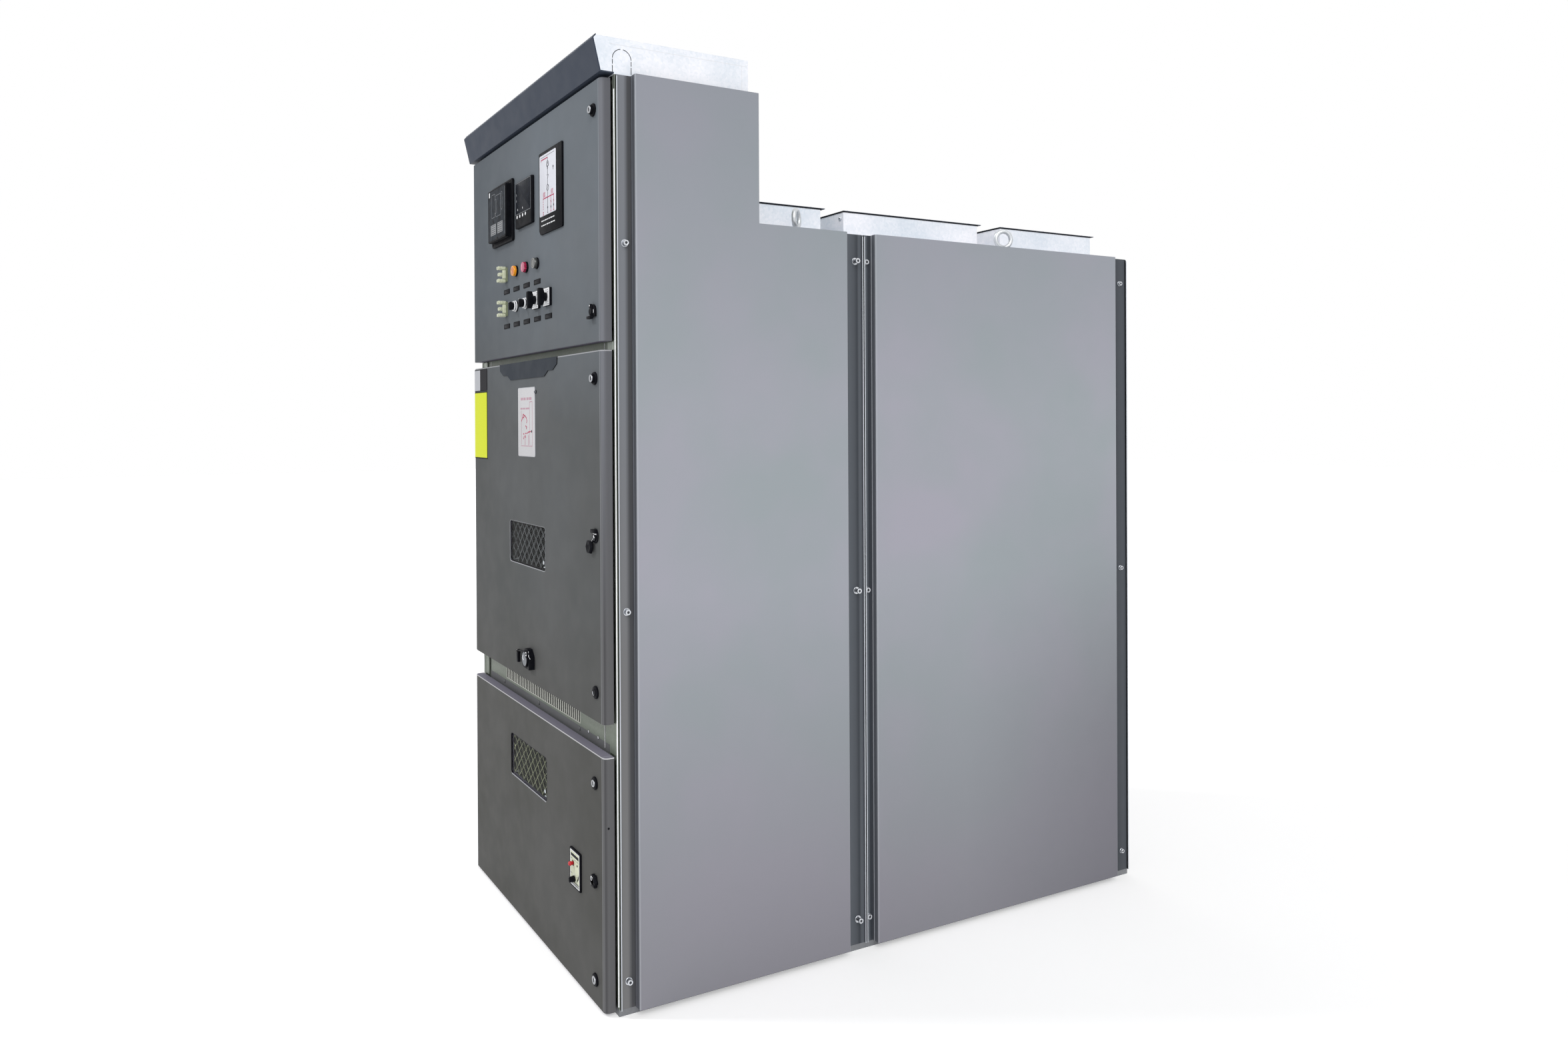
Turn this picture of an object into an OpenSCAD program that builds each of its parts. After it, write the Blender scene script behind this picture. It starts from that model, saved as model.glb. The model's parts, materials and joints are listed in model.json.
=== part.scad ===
// Metal-enclosed switchgear panel: a tall front module with three doors,
// a lower rear module, roof relief ducts and end-of-row side panels.
// Millimetres. X across the front, Y towards the back, Z up from the floor.
// The origin is the middle of the floor frame, on the floor.

/* [Cabinet] */
// Width over the frame
frame_w = 1000; // [800:5:1250]
// Depth over the frame
frame_d = 1660; // [1400:5:2050]
// Height of the tall front part
front_h = 2145; // [1950:5:2600]
// Height of the lower rear part
rear_h = 1832; // [1700:2:1960]
// Depth of the instrument compartment
instrument_d = 370; // [310:5:450]
// Depth of the front module
module_d = 691; // [600:1:830]
// Thickness of the frame's sheet metal
sheet = 2; // [1.5:0.1:3]
// Joint between the two modules
module_gap = 2; // [1:0.5:4]

/* [Floor frame] */
// Width of the floor frame's flat flange
base_flange = 60; // [50:1:80]
// Thickness of the floor frame
base_t = 4; // [3:0.5:6]
// Height of the floor frame's outer lip
base_lip_h = 16; // [12:1:30]
// Diameter of the anchor holes
anchor_d = 14; // [10:0.5:18]
// Distance of the anchor holes from the frame's edges
anchor_inset = 32; // [28:1:36]

/* [Front frame] */
// Width of a front post
post_w = 52; // [44:1:60]
// Depth of a front post
post_d = 40; // [30:1:50]
// Width of a post's outer nose
post_nose = 11; // [8:1:16]
// Depth of the seal groove beside the nose
post_groove = 12; // [8:1:16]
// Height of the cross rails
rail_h = 46; // [36:1:60]
// How far the cross rails stand out from the bottom of the seal groove
rail_proud = 8; // [4:1:10]

/* [Doors] */
// Depth of a door's return edges
door_return = 25; // [20:1:35]
// Thickness of the door sheet
door_t = 2; // [1.5:0.1:3]
// Outer bend radius of the door's upright edges
door_bend = 12; // [6:1:16]
// Radius of the breaker door's hinge-side corners
door_corner_r = 20; // [8:1:30]
// Gap between a closed door and the frame
door_gap = 5; // [5:0.5:8]
// Distance of the door's free edge from the cabinet side
door_free_inset = 10; // [8:1:14]
// Bottom of the cable door above the floor
cable_door_z = 8; // [6:1:20]
// Height of the cable door
cable_door_h = 583; // [520:1:640]
// Bottom of the breaker door above the floor
breaker_door_z = 666; // [664:1:700]
// Height of the breaker door
breaker_door_h = 854; // [780:1:856]
// Gap between the instrument door and the breaker door
door_split = 20; // [16:1:24]
// Distance of the instrument door's top below the frame's top
top_door_drop = 7; // [6:1:16]

/* [Hinges and locks] */
// Diameter of a hinge barrel
barrel_d = 10; // [9:0.5:12]
// Diameter of a hinge pin
hinge_pin_d = 5; // [4:0.5:6]
// Length of one hinge barrel
barrel_l = 26; // [20:1:40]
// Distance of the end hinges from a door's ends
hinge_inset = 90; // [60:5:120]
// Gap round pins and spindles
pin_gap = 0.2; // [0.15:0.05:0.4]
// Distance of the instrument door's lock from the door's free edge
instrument_lock_inset = 45; // [34:1:60]
// Distance of the breaker door's lock from the door's free edge
breaker_lock_inset = 40; // [34:1:60]
// Distance of the cable door's lock from the door's free edge
cable_lock_inset = 54; // [34:1:60]
// Diameter of the lock rosettes
rosette_d = 30; // [24:1:36]
// Diameter of the lock spindles
spindle_d = 10; // [8:0.5:12]

/* [Door windows] */
// Width of a window
window_w = 280; // [200:5:340]
// Height of a window
window_h = 114; // [90:2:140]
// Corner radius of a window
window_r = 10; // [4:1:20]
// Thickness of the window pane
pane_t = 4; // [3:0.5:6]
// Overlap of the pane behind the door sheet
pane_lap = 15; // [10:1:25]
// Centre of the windows from the cabinet's middle
window_x = -20; // [-60:5:60]
// Centre height of the breaker door's window
breaker_window_z = 1029; // [960:5:1100]
// Centre height of the cable door's window
cable_window_z = 436; // [380:5:460]

/* [Instrument door equipment] */
// Distance between the columns of small devices
column_step = 81.5; // [74:0.5:84]
// Middle of the third column from the cabinet's middle
column_x = -9; // [-20:1:10]
// Height of the lamp row
lamp_z = 1770; // [1750:5:1790]
// Height of the switch row
switch_z = 1674; // [1660:2:1690]
// Diameter of the lamp and switch heads
head_d = 30; // [26:1:32]
// Diameter of the panel holes for lamps and switches
panel_hole_d = 22.5; // [18:0.5:24]
// Width and height of a cam switch plate
cam_plate = 46; // [42:1:56]
// Width of the protection relay's flange
relay_w = 180; // [170:5:205]
// Height of the protection relay's flange
relay_h = 171; // [150:1:180]
// Middle of the protection relay
relay_x = -194; // [-210:1:-180]
// Height of the middle of the instruments
instrument_z = 1942; // [1925:1:1950]
// Width of the multimeter
meter_w = 128; // [96:2:130]
// Height of the multimeter
meter_h = 124; // [96:2:130]
// Middle of the multimeter
meter_x = -10.5; // [-16:0.5:6]
// Width of the mimic diagram panel
mimic_w = 161; // [140:1:180]
// Height of the mimic diagram panel
mimic_h = 209; // [180:1:220]
// Middle of the mimic diagram panel
mimic_x = 181.5; // [170:0.5:190]
// Height of the middle of the mimic diagram panel
mimic_z = 1941; // [1930:1:1955]
// Depth of the relay and meter bodies behind the door
device_depth = 70; // [40:5:120]

/* [Breaker door equipment] */
// Half width of the emblem plate at the top
emblem_half_w = 225; // [200:5:260]
// Height of the emblem plate
emblem_h = 46; // [40:1:60]
// Middle of the emblem plate
emblem_x = -11; // [-30:1:30]
// Middle of the racking hole
racking_x = 8; // [-60:1:60]
// Height of the racking hole
racking_z = 730; // [725:1:780]
// Diameter of the racking hole
racking_hole_d = 26; // [20:1:30]
// Width over the racking housing
racking_w = 52; // [50:1:70]
// Height of the breaker door's lock
breaker_lock_z = 1094; // [1060:2:1120]

/* [Cable door equipment] */
// Width of the voltage indicator
indicator_w = 66; // [64:1:96]
// Height of the voltage indicator
indicator_h = 92; // [88:1:130]
// Middle of the voltage indicator
indicator_x = 320; // [280:1:320]
// Height of the middle of the voltage indicator
indicator_z = 280; // [260:1:300]
// Height of the cable door's lock
cable_lock_z = 294; // [270:2:310]

/* [Side panels] */
// How far a side panel stands out from the frame
panel_proud = 26; // [18:1:32]
// Height of the panels' lower edge above the floor
panel_z = 16; // [16:1:30]
// Width of the front mounting flange
flange_front = 38; // [30:1:45]
// Width of the middle mounting flange of the front panel
flange_mid = 61; // [50:1:70]
// Width of the front mounting flange of the rear panel
flange_rear_front = 22; // [16:1:30]
// Width of the rear mounting flange
flange_rear = 66; // [50:1:80]
// Height of the raised lip along a flange's edge
flange_lip = 6; // [3:0.5:10]
// Bend radius of the panel's upright edges
panel_bend = 4; // [2.5:0.5:8]

/* [Roof] */
// Height of the instrument roof box
roof_box_h = 83; // [70:1:110]
// Distance of the roof box from the back of the tall part
roof_box_set_back = 16; // [10:1:30]
// How far the canopy stands out in front
canopy_out = 50; // [40:1:80]
// Distance of the relief ducts from the cabinet sides
duct_inset = 84; // [60:1:120]
// Height of the relief ducts
duct_h = 76; // [60:1:100]
// Length of the breaker duct
breaker_duct_l = 237; // [200:1:250]
// Length of the busbar duct
busbar_duct_l = 463; // [300:1:480]
// Distance between the busbar duct and the cable duct
duct_spacing = 86; // [60:1:100]
// Length of the cable duct
cable_duct_l = 363; // [300:1:380]
// How far the duct lids stand out at the back
lid_over = 14; // [6:1:20]
// Outer diameter of a lifting eye
eye_d = 50; // [40:1:60]
// Thickness of a lifting eye's ring
eye_bar = 11; // [9:0.5:14]

/* [Vent strip] */
// Number of vent slots
vent_count = 42; // [10:1:42]
// Distance between vent slots
vent_step = 13.4; // [10:0.1:16]
// Width of a vent slot
vent_w = 5; // [3:0.5:7]
// Height of a vent slot
vent_h = 44; // [30:1:46]
// Bottom of the vent slots above the floor
vent_z = 615; // [612:1:630]
// Middle of the row of vent slots
vent_x = -16; // [-30:1:30]

/* [Hidden] */

zinc = [0.66, 0.69, 0.66];
galvanised = [0.87, 0.88, 0.90];
panel_grey = [0.60, 0.63, 0.66];
door_grey = [0.43, 0.45, 0.47];
slate = [0.27, 0.30, 0.36];
black = [0.10, 0.10, 0.11];
cream = [0.85, 0.86, 0.76];
glass = [0.30, 0.33, 0.33];

fine = 64;
half_w = frame_w / 2;
front = -frame_d / 2;
back = frame_d / 2;
wall_x = half_w - sheet;
split_y = front + module_d;
rear_front_y = split_y + module_gap;
instrument_back = front + instrument_d;

// Doors
door_back = front - door_gap;
door_face = door_back - door_return;
hinge_x = -half_w + barrel_d / 2;
hinge_y = door_back - door_return / 2 + 0.5;
door_left = hinge_x + barrel_d / 2 + 1;
door_right = half_w - door_free_inset;
door_w = door_right - door_left;
instrument_lock_x = door_right - instrument_lock_inset;
breaker_lock_x = door_right - breaker_lock_inset;
cable_lock_x = door_right - cable_lock_inset;
breaker_door_top = breaker_door_z + breaker_door_h;
instrument_door_z = breaker_door_top + door_split;
instrument_door_top = front_h - top_door_drop;
instrument_door_h = instrument_door_top - instrument_door_z;
cable_door_top = cable_door_z + cable_door_h;
face_inside = door_face + door_t;
instrument_lock_z = instrument_door_z + 70;
hinge_r = barrel_d / 2;

// Compartments
upper_split_z = instrument_door_z;
lower_split_z = breaker_door_z - 26;

// Ducts
breaker_duct_y = instrument_back + 15;
busbar_duct_y = rear_front_y + 2;
cable_duct_y = busbar_duct_y + busbar_duct_l + duct_spacing;
partition_y = busbar_duct_y + busbar_duct_l + duct_spacing / 2;
duct_half_w = half_w - duct_inset;
eye_x = half_w - 20;
eye_places = [[breaker_duct_y + 120, -33], [cable_duct_y - 48, 86]];

// Box from two opposite corners
module block(x0, x1, y0, y1, z0, z1)
    translate([x0, y0, z0]) cube([x1 - x0, y1 - y0, z1 - z0]);

// Copies on the right and the left side
module both_sides() {
    children();
    mirror([1, 0, 0]) children();
}

// Cylinder along Y from y0 to y1
module rod_y(x, z, d, y0, y1)
    translate([x, y0, z]) rotate([-90, 0, 0]) cylinder(d = d, h = y1 - y0, $fn = fine);

// Upright sheet in the XZ plane with square or round corners
module rounded_plate_y(x, z, w, h, r, y0, y1)
    translate([x, y1, z]) rotate([90, 0, 0]) linear_extrude(y1 - y0)
        rounded_square(w, h, r);

module rounded_square(w, h, r) {
    square([w - 2 * r, h], center = true);
    square([w, h - 2 * r], center = true);
    for (sx = [-1, 1], sz = [-1, 1])
        translate([sx * (w / 2 - r), sz * (h / 2 - r)]) circle(r = r, $fn = fine);
}

// Flat ring of sheet, open in the middle
module frame_ring(w, d, flange, z0, z1)
    difference() {
        block(-w / 2, w / 2, -d / 2, d / 2, z0, z1);
        block(-w / 2 + flange, w / 2 - flange, -d / 2 + flange, d / 2 - flange, z0 - 1, z1 + 1);
    }

module base_frame() color(zinc) difference() {
    union() {
        frame_ring(frame_w, frame_d, base_flange, 0, base_t);
        frame_ring(frame_w, frame_d, sheet, 0, base_lip_h);
        block(-wall_x, wall_x, front + sheet, back - sheet, base_t, base_t + sheet);
    }
    for (sx = [-1, 1], sy = [-1, 1])
        translate([sx * (half_w - anchor_inset), sy * (back - anchor_inset), -1])
            cylinder(d = anchor_d, h = base_t + sheet + 2, $fn = fine);
}

// Section of a front post: nose, seal groove and inner flange
module post_section() {
    groove_x = half_w - post_nose;
    inner_x = half_w - post_w;
    translate([wall_x, front]) square([sheet, post_d]);
    translate([groove_x, front]) square([post_nose, sheet]);
    translate([groove_x, front]) square([sheet, post_groove + sheet]);
    translate([inner_x, front + post_groove]) square([groove_x - inner_x + sheet, sheet]);
    translate([inner_x, front + post_groove]) square([sheet, post_d - post_groove]);
}

// Angle between the posts with short returns at its ends
module cross_rail(z0, z1) {
    inner_x = half_w - post_w;
    rail_y = front + post_groove - rail_proud;
    block(-inner_x, inner_x, rail_y, rail_y + sheet, z0, z1);
    block(-inner_x, inner_x, rail_y, front + post_d, z0, z0 + sheet);
    both_sides() block(inner_x - sheet, inner_x, rail_y, rail_y + rail_proud + sheet, z0, z1);
}

module front_posts() color(zinc) both_sides() translate([0, 0, base_lip_h])
    linear_extrude(front_h - base_lip_h) post_section();

module front_rails() color(zinc) difference() {
    union() {
        cross_rail(base_lip_h, base_lip_h + rail_h);
        cross_rail(cable_door_top - 24, breaker_door_z + 24);
        cross_rail(upper_split_z - rail_h / 2 - door_split / 2, upper_split_z + rail_h / 2);
        cross_rail(front_h - rail_h, front_h);
    }
    for (i = [0 : vent_count - 1])
        translate([vent_x + (i - (vent_count - 1) / 2) * vent_step - vent_w / 2, front, vent_z])
            cube([vent_w, post_groove, vent_h]);
}

// One wall of the front module, stepped down behind the instrument box
module front_wall() translate([wall_x, 0, 0]) rotate([90, 0, 90]) linear_extrude(sheet)
    polygon([[front + post_d, base_lip_h], [split_y, base_lip_h], [split_y, rear_h - sheet],
        [instrument_back, rear_h - sheet], [instrument_back, front_h], [front + post_d, front_h]]);

module side_walls() color(zinc) both_sides() {
    front_wall();
    block(wall_x, half_w, rear_front_y, back, base_lip_h, rear_h - sheet);
}

// Floor and back of the instrument compartment
module instrument_compartment() color(zinc) {
    block(-wall_x, wall_x, front + post_d, instrument_back, upper_split_z, upper_split_z + sheet);
    block(-wall_x, wall_x, instrument_back - sheet, instrument_back, upper_split_z, front_h);
    block(-wall_x, wall_x, instrument_back - roof_box_set_back - 14, instrument_back,
        front_h - sheet, front_h);
}

module instrument_mounting_plate() color(galvanised) {
    plate_y = instrument_back - sheet - 22;
    block(-half_w + 60, half_w - 60, plate_y, plate_y + sheet,
        upper_split_z + 60, front_h - 70);
    for (sx = [-1, 1], z = [upper_split_z + 90, front_h - 100])
        rod_y(sx * (half_w - 90), z, 12, plate_y + sheet, instrument_back - sheet);
    for (z = [upper_split_z + 170, upper_split_z + 370])
        block(-half_w + 110, half_w - 110, plate_y - 8, plate_y, z, z + 35);
}

// Floor of the breaker compartment with the truck's guide rails
module breaker_floor() color(zinc) {
    block(-wall_x, wall_x, front + post_d, split_y - sheet, lower_split_z, lower_split_z + sheet);
    both_sides() {
        block(half_w - 150, half_w - 120, front + post_d + 20, split_y - 20,
            lower_split_z + sheet, lower_split_z + sheet + 3);
        block(half_w - 123, half_w - 120, front + post_d + 20, split_y - 20,
            lower_split_z + sheet, lower_split_z + 30);
    }
}

module shutter_wall() color(zinc) {
    block(-wall_x, wall_x, split_y - sheet, split_y, base_lip_h, rear_h - sheet);
    for (z = [lower_split_z + 190, lower_split_z + 500])
        block(-half_w + 130, half_w - 130, split_y - sheet - 12, split_y - sheet, z, z + 180);
}

// Upright wall between busbars and cables, with the busbar floor
module busbar_partition() color(zinc) {
    block(-wall_x, wall_x, partition_y, partition_y + sheet, lower_split_z, rear_h - sheet);
    block(-wall_x, wall_x, rear_front_y, partition_y, lower_split_z, lower_split_z + sheet);
}

// Top-hat section of a side panel between y0 and y1, with its two flanges
module panel_section(y0, y1, before, after) {
    out_x = half_w + panel_proud;
    difference() {
        panel_outline(y0, y1, out_x, panel_bend);
        panel_outline(y0 + sheet, y1 - sheet, out_x - sheet, panel_bend - sheet);
    }
    translate([half_w, y0 - before]) square([sheet, before + sheet]);
    translate([half_w, y1 - sheet]) square([sheet, after + sheet]);
    translate([half_w, y0 - before]) square([sheet + flange_lip, sheet]);
    translate([half_w, y1 + after - sheet]) square([sheet + flange_lip, sheet]);
}

module panel_outline(y0, y1, out_x, r) {
    translate([half_w, y0]) square([out_x - half_w - r, y1 - y0]);
    translate([half_w, y0 + r]) square([out_x - half_w, y1 - y0 - 2 * r]);
    for (y = [y0 + r, y1 - r]) translate([out_x - r, y]) circle(r = r, $fn = fine);
}

module panel_cap(y0, y1, z)
    translate([0, 0, z]) linear_extrude(sheet)
        panel_outline(y0, y1, half_w + panel_proud, panel_bend);

front_panel_y0 = front + 2 + flange_front;
front_panel_y1 = split_y - 1 - flange_mid;
rear_panel_y0 = rear_front_y + 1 + flange_rear_front;
rear_panel_y1 = back - 2 - flange_rear;

// Cut along the top corner of the lip that starts at y
module lip_chamfer(y, z) translate([half_w + sheet, y + sheet + 0.5, z]) rotate([90, 0, 0])
    linear_extrude(sheet + 1)
        polygon([[0, 0], [0, 1], [flange_lip + 1, 1], [flange_lip + 1, -flange_lip - 1]]);

module front_side_panel() difference() {
    front_side_sheets();
    lip_chamfer(front_panel_y0 - flange_front, front_h);
    lip_chamfer(front_panel_y1 + flange_mid - sheet, rear_h);
}

module front_side_sheets() {
    y0 = front_panel_y0;
    y1 = front_panel_y1;
    step_y = instrument_back;
    translate([0, 0, panel_z]) linear_extrude(rear_h - panel_z)
        panel_section(y0, y1, flange_front, flange_mid);
    translate([0, 0, rear_h]) linear_extrude(front_h - rear_h) difference() {
        panel_section(y0, step_y, flange_front, 0);
        translate([half_w, step_y - sheet]) square([sheet + flange_lip, sheet]);
    }
    panel_cap(y0, step_y, front_h - sheet);
    panel_cap(y0, y1, panel_z);
    panel_cap(step_y - 2 * panel_bend, y1, rear_h - sheet);
}

module rear_side_panel() difference() {
    rear_side_sheets();
    lip_chamfer(rear_panel_y0 - flange_rear_front, rear_h);
    lip_chamfer(rear_panel_y1 + flange_rear - sheet, rear_h);
}

module rear_side_sheets() {
    y0 = rear_panel_y0;
    y1 = rear_panel_y1;
    translate([0, 0, panel_z]) linear_extrude(rear_h - panel_z)
        panel_section(y0, y1, flange_rear_front, flange_rear);
    panel_cap(y0, y1, panel_z);
    panel_cap(y0, y1, rear_h - sheet);
}

module side_panel_front_right() color(panel_grey) front_side_panel();
module side_panel_front_left() color(panel_grey) mirror([1, 0, 0]) front_side_panel();
module side_panel_rear_right() color(panel_grey) rear_side_panel();
module side_panel_rear_left() color(panel_grey) mirror([1, 0, 0]) rear_side_panel();

// Roof box and canopy share the sloping line in front
roof_z = front_h + roof_box_h;
eave_z = front_h + 5;
canopy_t = 3;
eave_line = [[front - canopy_out + 6, roof_z], [front - canopy_out, roof_z - 7],
    [front - canopy_out + 17, eave_z], [front - 0.5, eave_z]];

module side_profile(points, x0, x1)
    translate([x0, 0, 0]) rotate([90, 0, 90]) linear_extrude(x1 - x0) polygon(points);

module instrument_roof_box() color(galvanised) difference() {
    side_profile(concat(eave_line, [[front - 0.5, front_h],
        [instrument_back - roof_box_set_back, front_h],
        [instrument_back - roof_box_set_back, roof_z]]), -half_w, half_w);
    block(-wall_x, wall_x, front + sheet, instrument_back - roof_box_set_back - sheet,
        front_h - 1, roof_z - sheet);
}

module canopy() color(slate) side_profile(concat(eave_line, [[front - 0.5, eave_z - canopy_t],
    [front - canopy_out + 14, eave_z - canopy_t], [front - canopy_out - 3.5, roof_z - 8],
    [front - canopy_out + 4, roof_z + 2], [front - canopy_out + 6, roof_z + 2]]),
    -half_w, half_w);

// Roof sheets of the two modules, open under the relief ducts
module roof_plates() color(galvanised) {
    difference() {
        block(-half_w, half_w, instrument_back, split_y, rear_h - sheet, rear_h);
        duct_space(breaker_duct_y, breaker_duct_l, rear_h - sheet - 1, rear_h + 1);
    }
    difference() {
        block(-half_w, half_w, rear_front_y, back, rear_h - sheet, rear_h);
        duct_space(busbar_duct_y, busbar_duct_l, rear_h - sheet - 1, rear_h + 1);
        duct_space(cable_duct_y, cable_duct_l, rear_h - sheet - 1, rear_h + 1);
    }
}

module duct_space(y0, l, z0, z1)
    block(-duct_half_w + sheet, duct_half_w - sheet, y0 + sheet, y0 + l - sheet, z0, z1);

module duct(y0, l) difference() {
    block(-duct_half_w, duct_half_w, y0, y0 + l, rear_h, rear_h + duct_h);
    duct_space(y0, l, rear_h - 1, rear_h + duct_h + 1);
}

module duct_lid(y0, l)
    block(-duct_half_w - 1, duct_half_w + 1, y0, y0 + l + lid_over,
        rear_h + duct_h, rear_h + duct_h + sheet);

module relief_ducts() color(galvanised) {
    duct(breaker_duct_y, breaker_duct_l);
    duct(busbar_duct_y, busbar_duct_l);
    duct(cable_duct_y, cable_duct_l);
}

module relief_lids() color(slate) {
    duct_lid(breaker_duct_y, breaker_duct_l);
    duct_lid(busbar_duct_y, busbar_duct_l);
    duct_lid(cable_duct_y, cable_duct_l);
}

module lifting_eye(y, turn) translate([eye_x, y, rear_h]) rotate([0, 0, turn]) {
    cylinder(d = 20, h = 7, $fn = fine);
    translate([0, 0, 3 + eye_d / 2]) rotate([90, 0, 0]) rotate_extrude($fn = fine)
        translate([(eye_d - eye_bar) / 2, 0]) circle(d = eye_bar, $fn = 24);
}

module lifting_eyes() color(galvanised) both_sides()
    for (place = eye_places) lifting_eye(place[0], place[1]);

// Bolted covers between the rear side panels' frames
module rear_covers() color(panel_grey) {
    split_z = 980;
    for (z = [[base_lip_h + 4, split_z - 3], [split_z + 3, rear_h - sheet - 4]]) {
        block(-wall_x, wall_x, back - 12, back - 10, z[0], z[1]);
        both_sides() block(wall_x - sheet, wall_x, back - 24, back - 10, z[0], z[1]);
        block(-wall_x, wall_x, back - 24, back - 10, z[0], z[0] + sheet);
        block(-wall_x, wall_x, back - 24, back - 10, z[1] - sheet, z[1]);
    }
}

// Section of a door: flat face, bent upright edges, open at the back
module door_outline(w, d, r) {
    translate([r, 0]) square([w - 2 * r, d]);
    translate([0, r]) square([w, d - r]);
    for (x = [r, w - r]) translate([x, r]) circle(r = r, $fn = fine);
}

module door_tray(z, h) translate([door_left, door_face, z]) difference() {
    linear_extrude(h) door_outline(door_w, door_return, door_bend);
    translate([door_t, door_t, door_t]) linear_extrude(h - 2 * door_t)
        door_outline(door_w - 2 * door_t, door_return, door_bend - door_t);
}

// Cut that rounds a hinge-side corner at height z, a lower corner or an upper one
module corner_cut(z, upper) translate([door_left, door_back + 1, z]) rotate([90, 0, 0])
    mirror([0, upper ? 1 : 0, 0]) linear_extrude(door_return + 2) difference() {
        translate([-1, -1]) square(door_corner_r + 1);
        translate([door_corner_r, door_corner_r]) circle(r = door_corner_r, $fn = fine);
    }

// Heights of the hinges of a door, the middle one on the tall door only
function hinge_heights(z, h) = h > 700
    ? [z + hinge_inset, z + h / 2, z + h - hinge_inset] : [z + hinge_inset, z + h - hinge_inset];

all_hinges = concat(hinge_heights(cable_door_z, cable_door_h),
    hinge_heights(breaker_door_z, breaker_door_h),
    hinge_heights(instrument_door_z, instrument_door_h));

module door_knuckles(z, h) for (hz = hinge_heights(z, h)) difference() {
    union() {
        translate([hinge_x, hinge_y, hz + 0.5]) cylinder(d = barrel_d, h = barrel_l, $fn = fine);
        block(hinge_x, door_left + door_t, hinge_y - 1.5, hinge_y + 1.5, hz + 0.5, hz + 0.5 + barrel_l);
    }
    translate([hinge_x, hinge_y, hz - 1])
        cylinder(d = hinge_pin_d + 2 * pin_gap, h = barrel_l + 3, $fn = fine);
}

module hinge_brackets() color(zinc) for (hz = all_hinges) {
    translate([hinge_x, hinge_y, hz - barrel_l]) {
        cylinder(d = barrel_d, h = barrel_l, $fn = fine);
        cylinder(d = hinge_pin_d, h = 2 * barrel_l, $fn = fine);
    }
    block(-half_w, -half_w + 2.5, hinge_y, front, hz - barrel_l, hz);
}

// Hole through a door's face along Y
module face_hole(x, z, d) rod_y(x, z, d, door_face - 1, face_inside + 1);
module face_cutout(x, z, w, h)
    block(x - w / 2, x + w / 2, door_face - 1, face_inside + 1, z - h / 2, z + h / 2);
module window_hole(z)
    rounded_plate_y(window_x, z, window_w, window_h, window_r, door_face - 1, face_inside + 1);
module window_pane(z) color(glass)
    rounded_plate_y(window_x, z, window_w + 2 * pane_lap, window_h + 2 * pane_lap,
        window_r, face_inside, face_inside + pane_t);

// Columns of the instrument door's small devices, counted from the left
function column(i) = column_x + (i - 2) * column_step;
lamp_columns = [1, 2, 3];
selector_columns = [1, 2];
cam_columns = [3, 4];
switch_hole_d = 8.4;
switch_shaft_d = 8;
relay_body = relay_w - 26;
relay_body_h = relay_h - 23;
meter_body = meter_w - 10;
cut_slack = 1;

module instrument_door() color(door_grey) {
    difference() {
        door_tray(instrument_door_z, instrument_door_h);
        for (i = lamp_columns) face_hole(column(i), lamp_z, panel_hole_d);
        for (i = concat(selector_columns, cam_columns)) face_hole(column(i), switch_z, panel_hole_d);
        face_cutout(relay_x, instrument_z, relay_body + cut_slack, relay_body_h + cut_slack);
        face_cutout(meter_x, instrument_z, meter_body + cut_slack, meter_body + cut_slack);
        face_hole(instrument_lock_x, instrument_lock_z, spindle_d + 2 * pin_gap);
    }
    door_knuckles(instrument_door_z, instrument_door_h);
}

module protection_relay() color(black) {
    rounded_plate_y(relay_x, instrument_z, relay_w, relay_h, 8, door_face - 7, door_face);
    rounded_plate_y(relay_x, instrument_z, relay_body, relay_body_h, 3, door_face - 22, door_face - 7);
    block(relay_x - relay_body / 2, relay_x + relay_body / 2, door_face, face_inside + device_depth,
        instrument_z - relay_body_h / 2, instrument_z + relay_body_h / 2);
}

module multimeter() color(black) {
    rounded_plate_y(meter_x, instrument_z, meter_w, meter_h, 3, door_face - 9, door_face);
    block(meter_x - meter_body / 2, meter_x + meter_body / 2, door_face, face_inside + device_depth,
        instrument_z - meter_body / 2, instrument_z + meter_body / 2);
}

module mimic_panel() color(black) difference() {
    rounded_plate_y(mimic_x, mimic_z, mimic_w, mimic_h, 4, door_face - 5, door_face);
    translate([mimic_x - mimic_w / 2, door_face, mimic_z - mimic_h / 2]) rotate([0, 45, 0])
        cube([14, 12, 14], center = true);
}

// Barrel through the door with the contact block behind it
module switch_back(x, z, block_w, block_d) {
    rod_y(x, z, panel_hole_d - 0.5, door_face, face_inside + 4);
    block(x - block_w / 2, x + block_w / 2, face_inside + 3, face_inside + block_d,
        z - block_w / 2, z + block_w / 2);
}

module indicator_lamps() for (i = lamp_columns) {
    color(i == 1 ? [0.95, 0.60, 0.10] : i == 2 ? [0.75, 0.10, 0.25] : [0.25, 0.27, 0.28])
    union() {
        rod_y(column(i), lamp_z, head_d, door_face - 5, door_face);
        rod_y(column(i), lamp_z, head_d - 2, door_face - 13, door_face - 5);
        switch_back(column(i), lamp_z, 28, 40);
    }
}

module switch_bases() color(black) {
    for (i = selector_columns) difference() {
        union() {
            rod_y(column(i), switch_z, head_d, door_face - 6, door_face);
            rod_y(column(i), switch_z, head_d - 3, door_face - 11, door_face - 6);
            switch_back(column(i), switch_z, 28, 45);
        }
        rod_y(column(i), switch_z, switch_hole_d, door_face - 13, door_face + 10);
    }
    for (i = cam_columns) difference() {
        union() {
            rounded_plate_y(column(i), switch_z, cam_plate, cam_plate, 2, door_face - 7, door_face);
            switch_back(column(i), switch_z, 42, 70);
        }
        rod_y(column(i), switch_z, switch_hole_d, door_face - 13, door_face + 10);
    }
}

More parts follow.
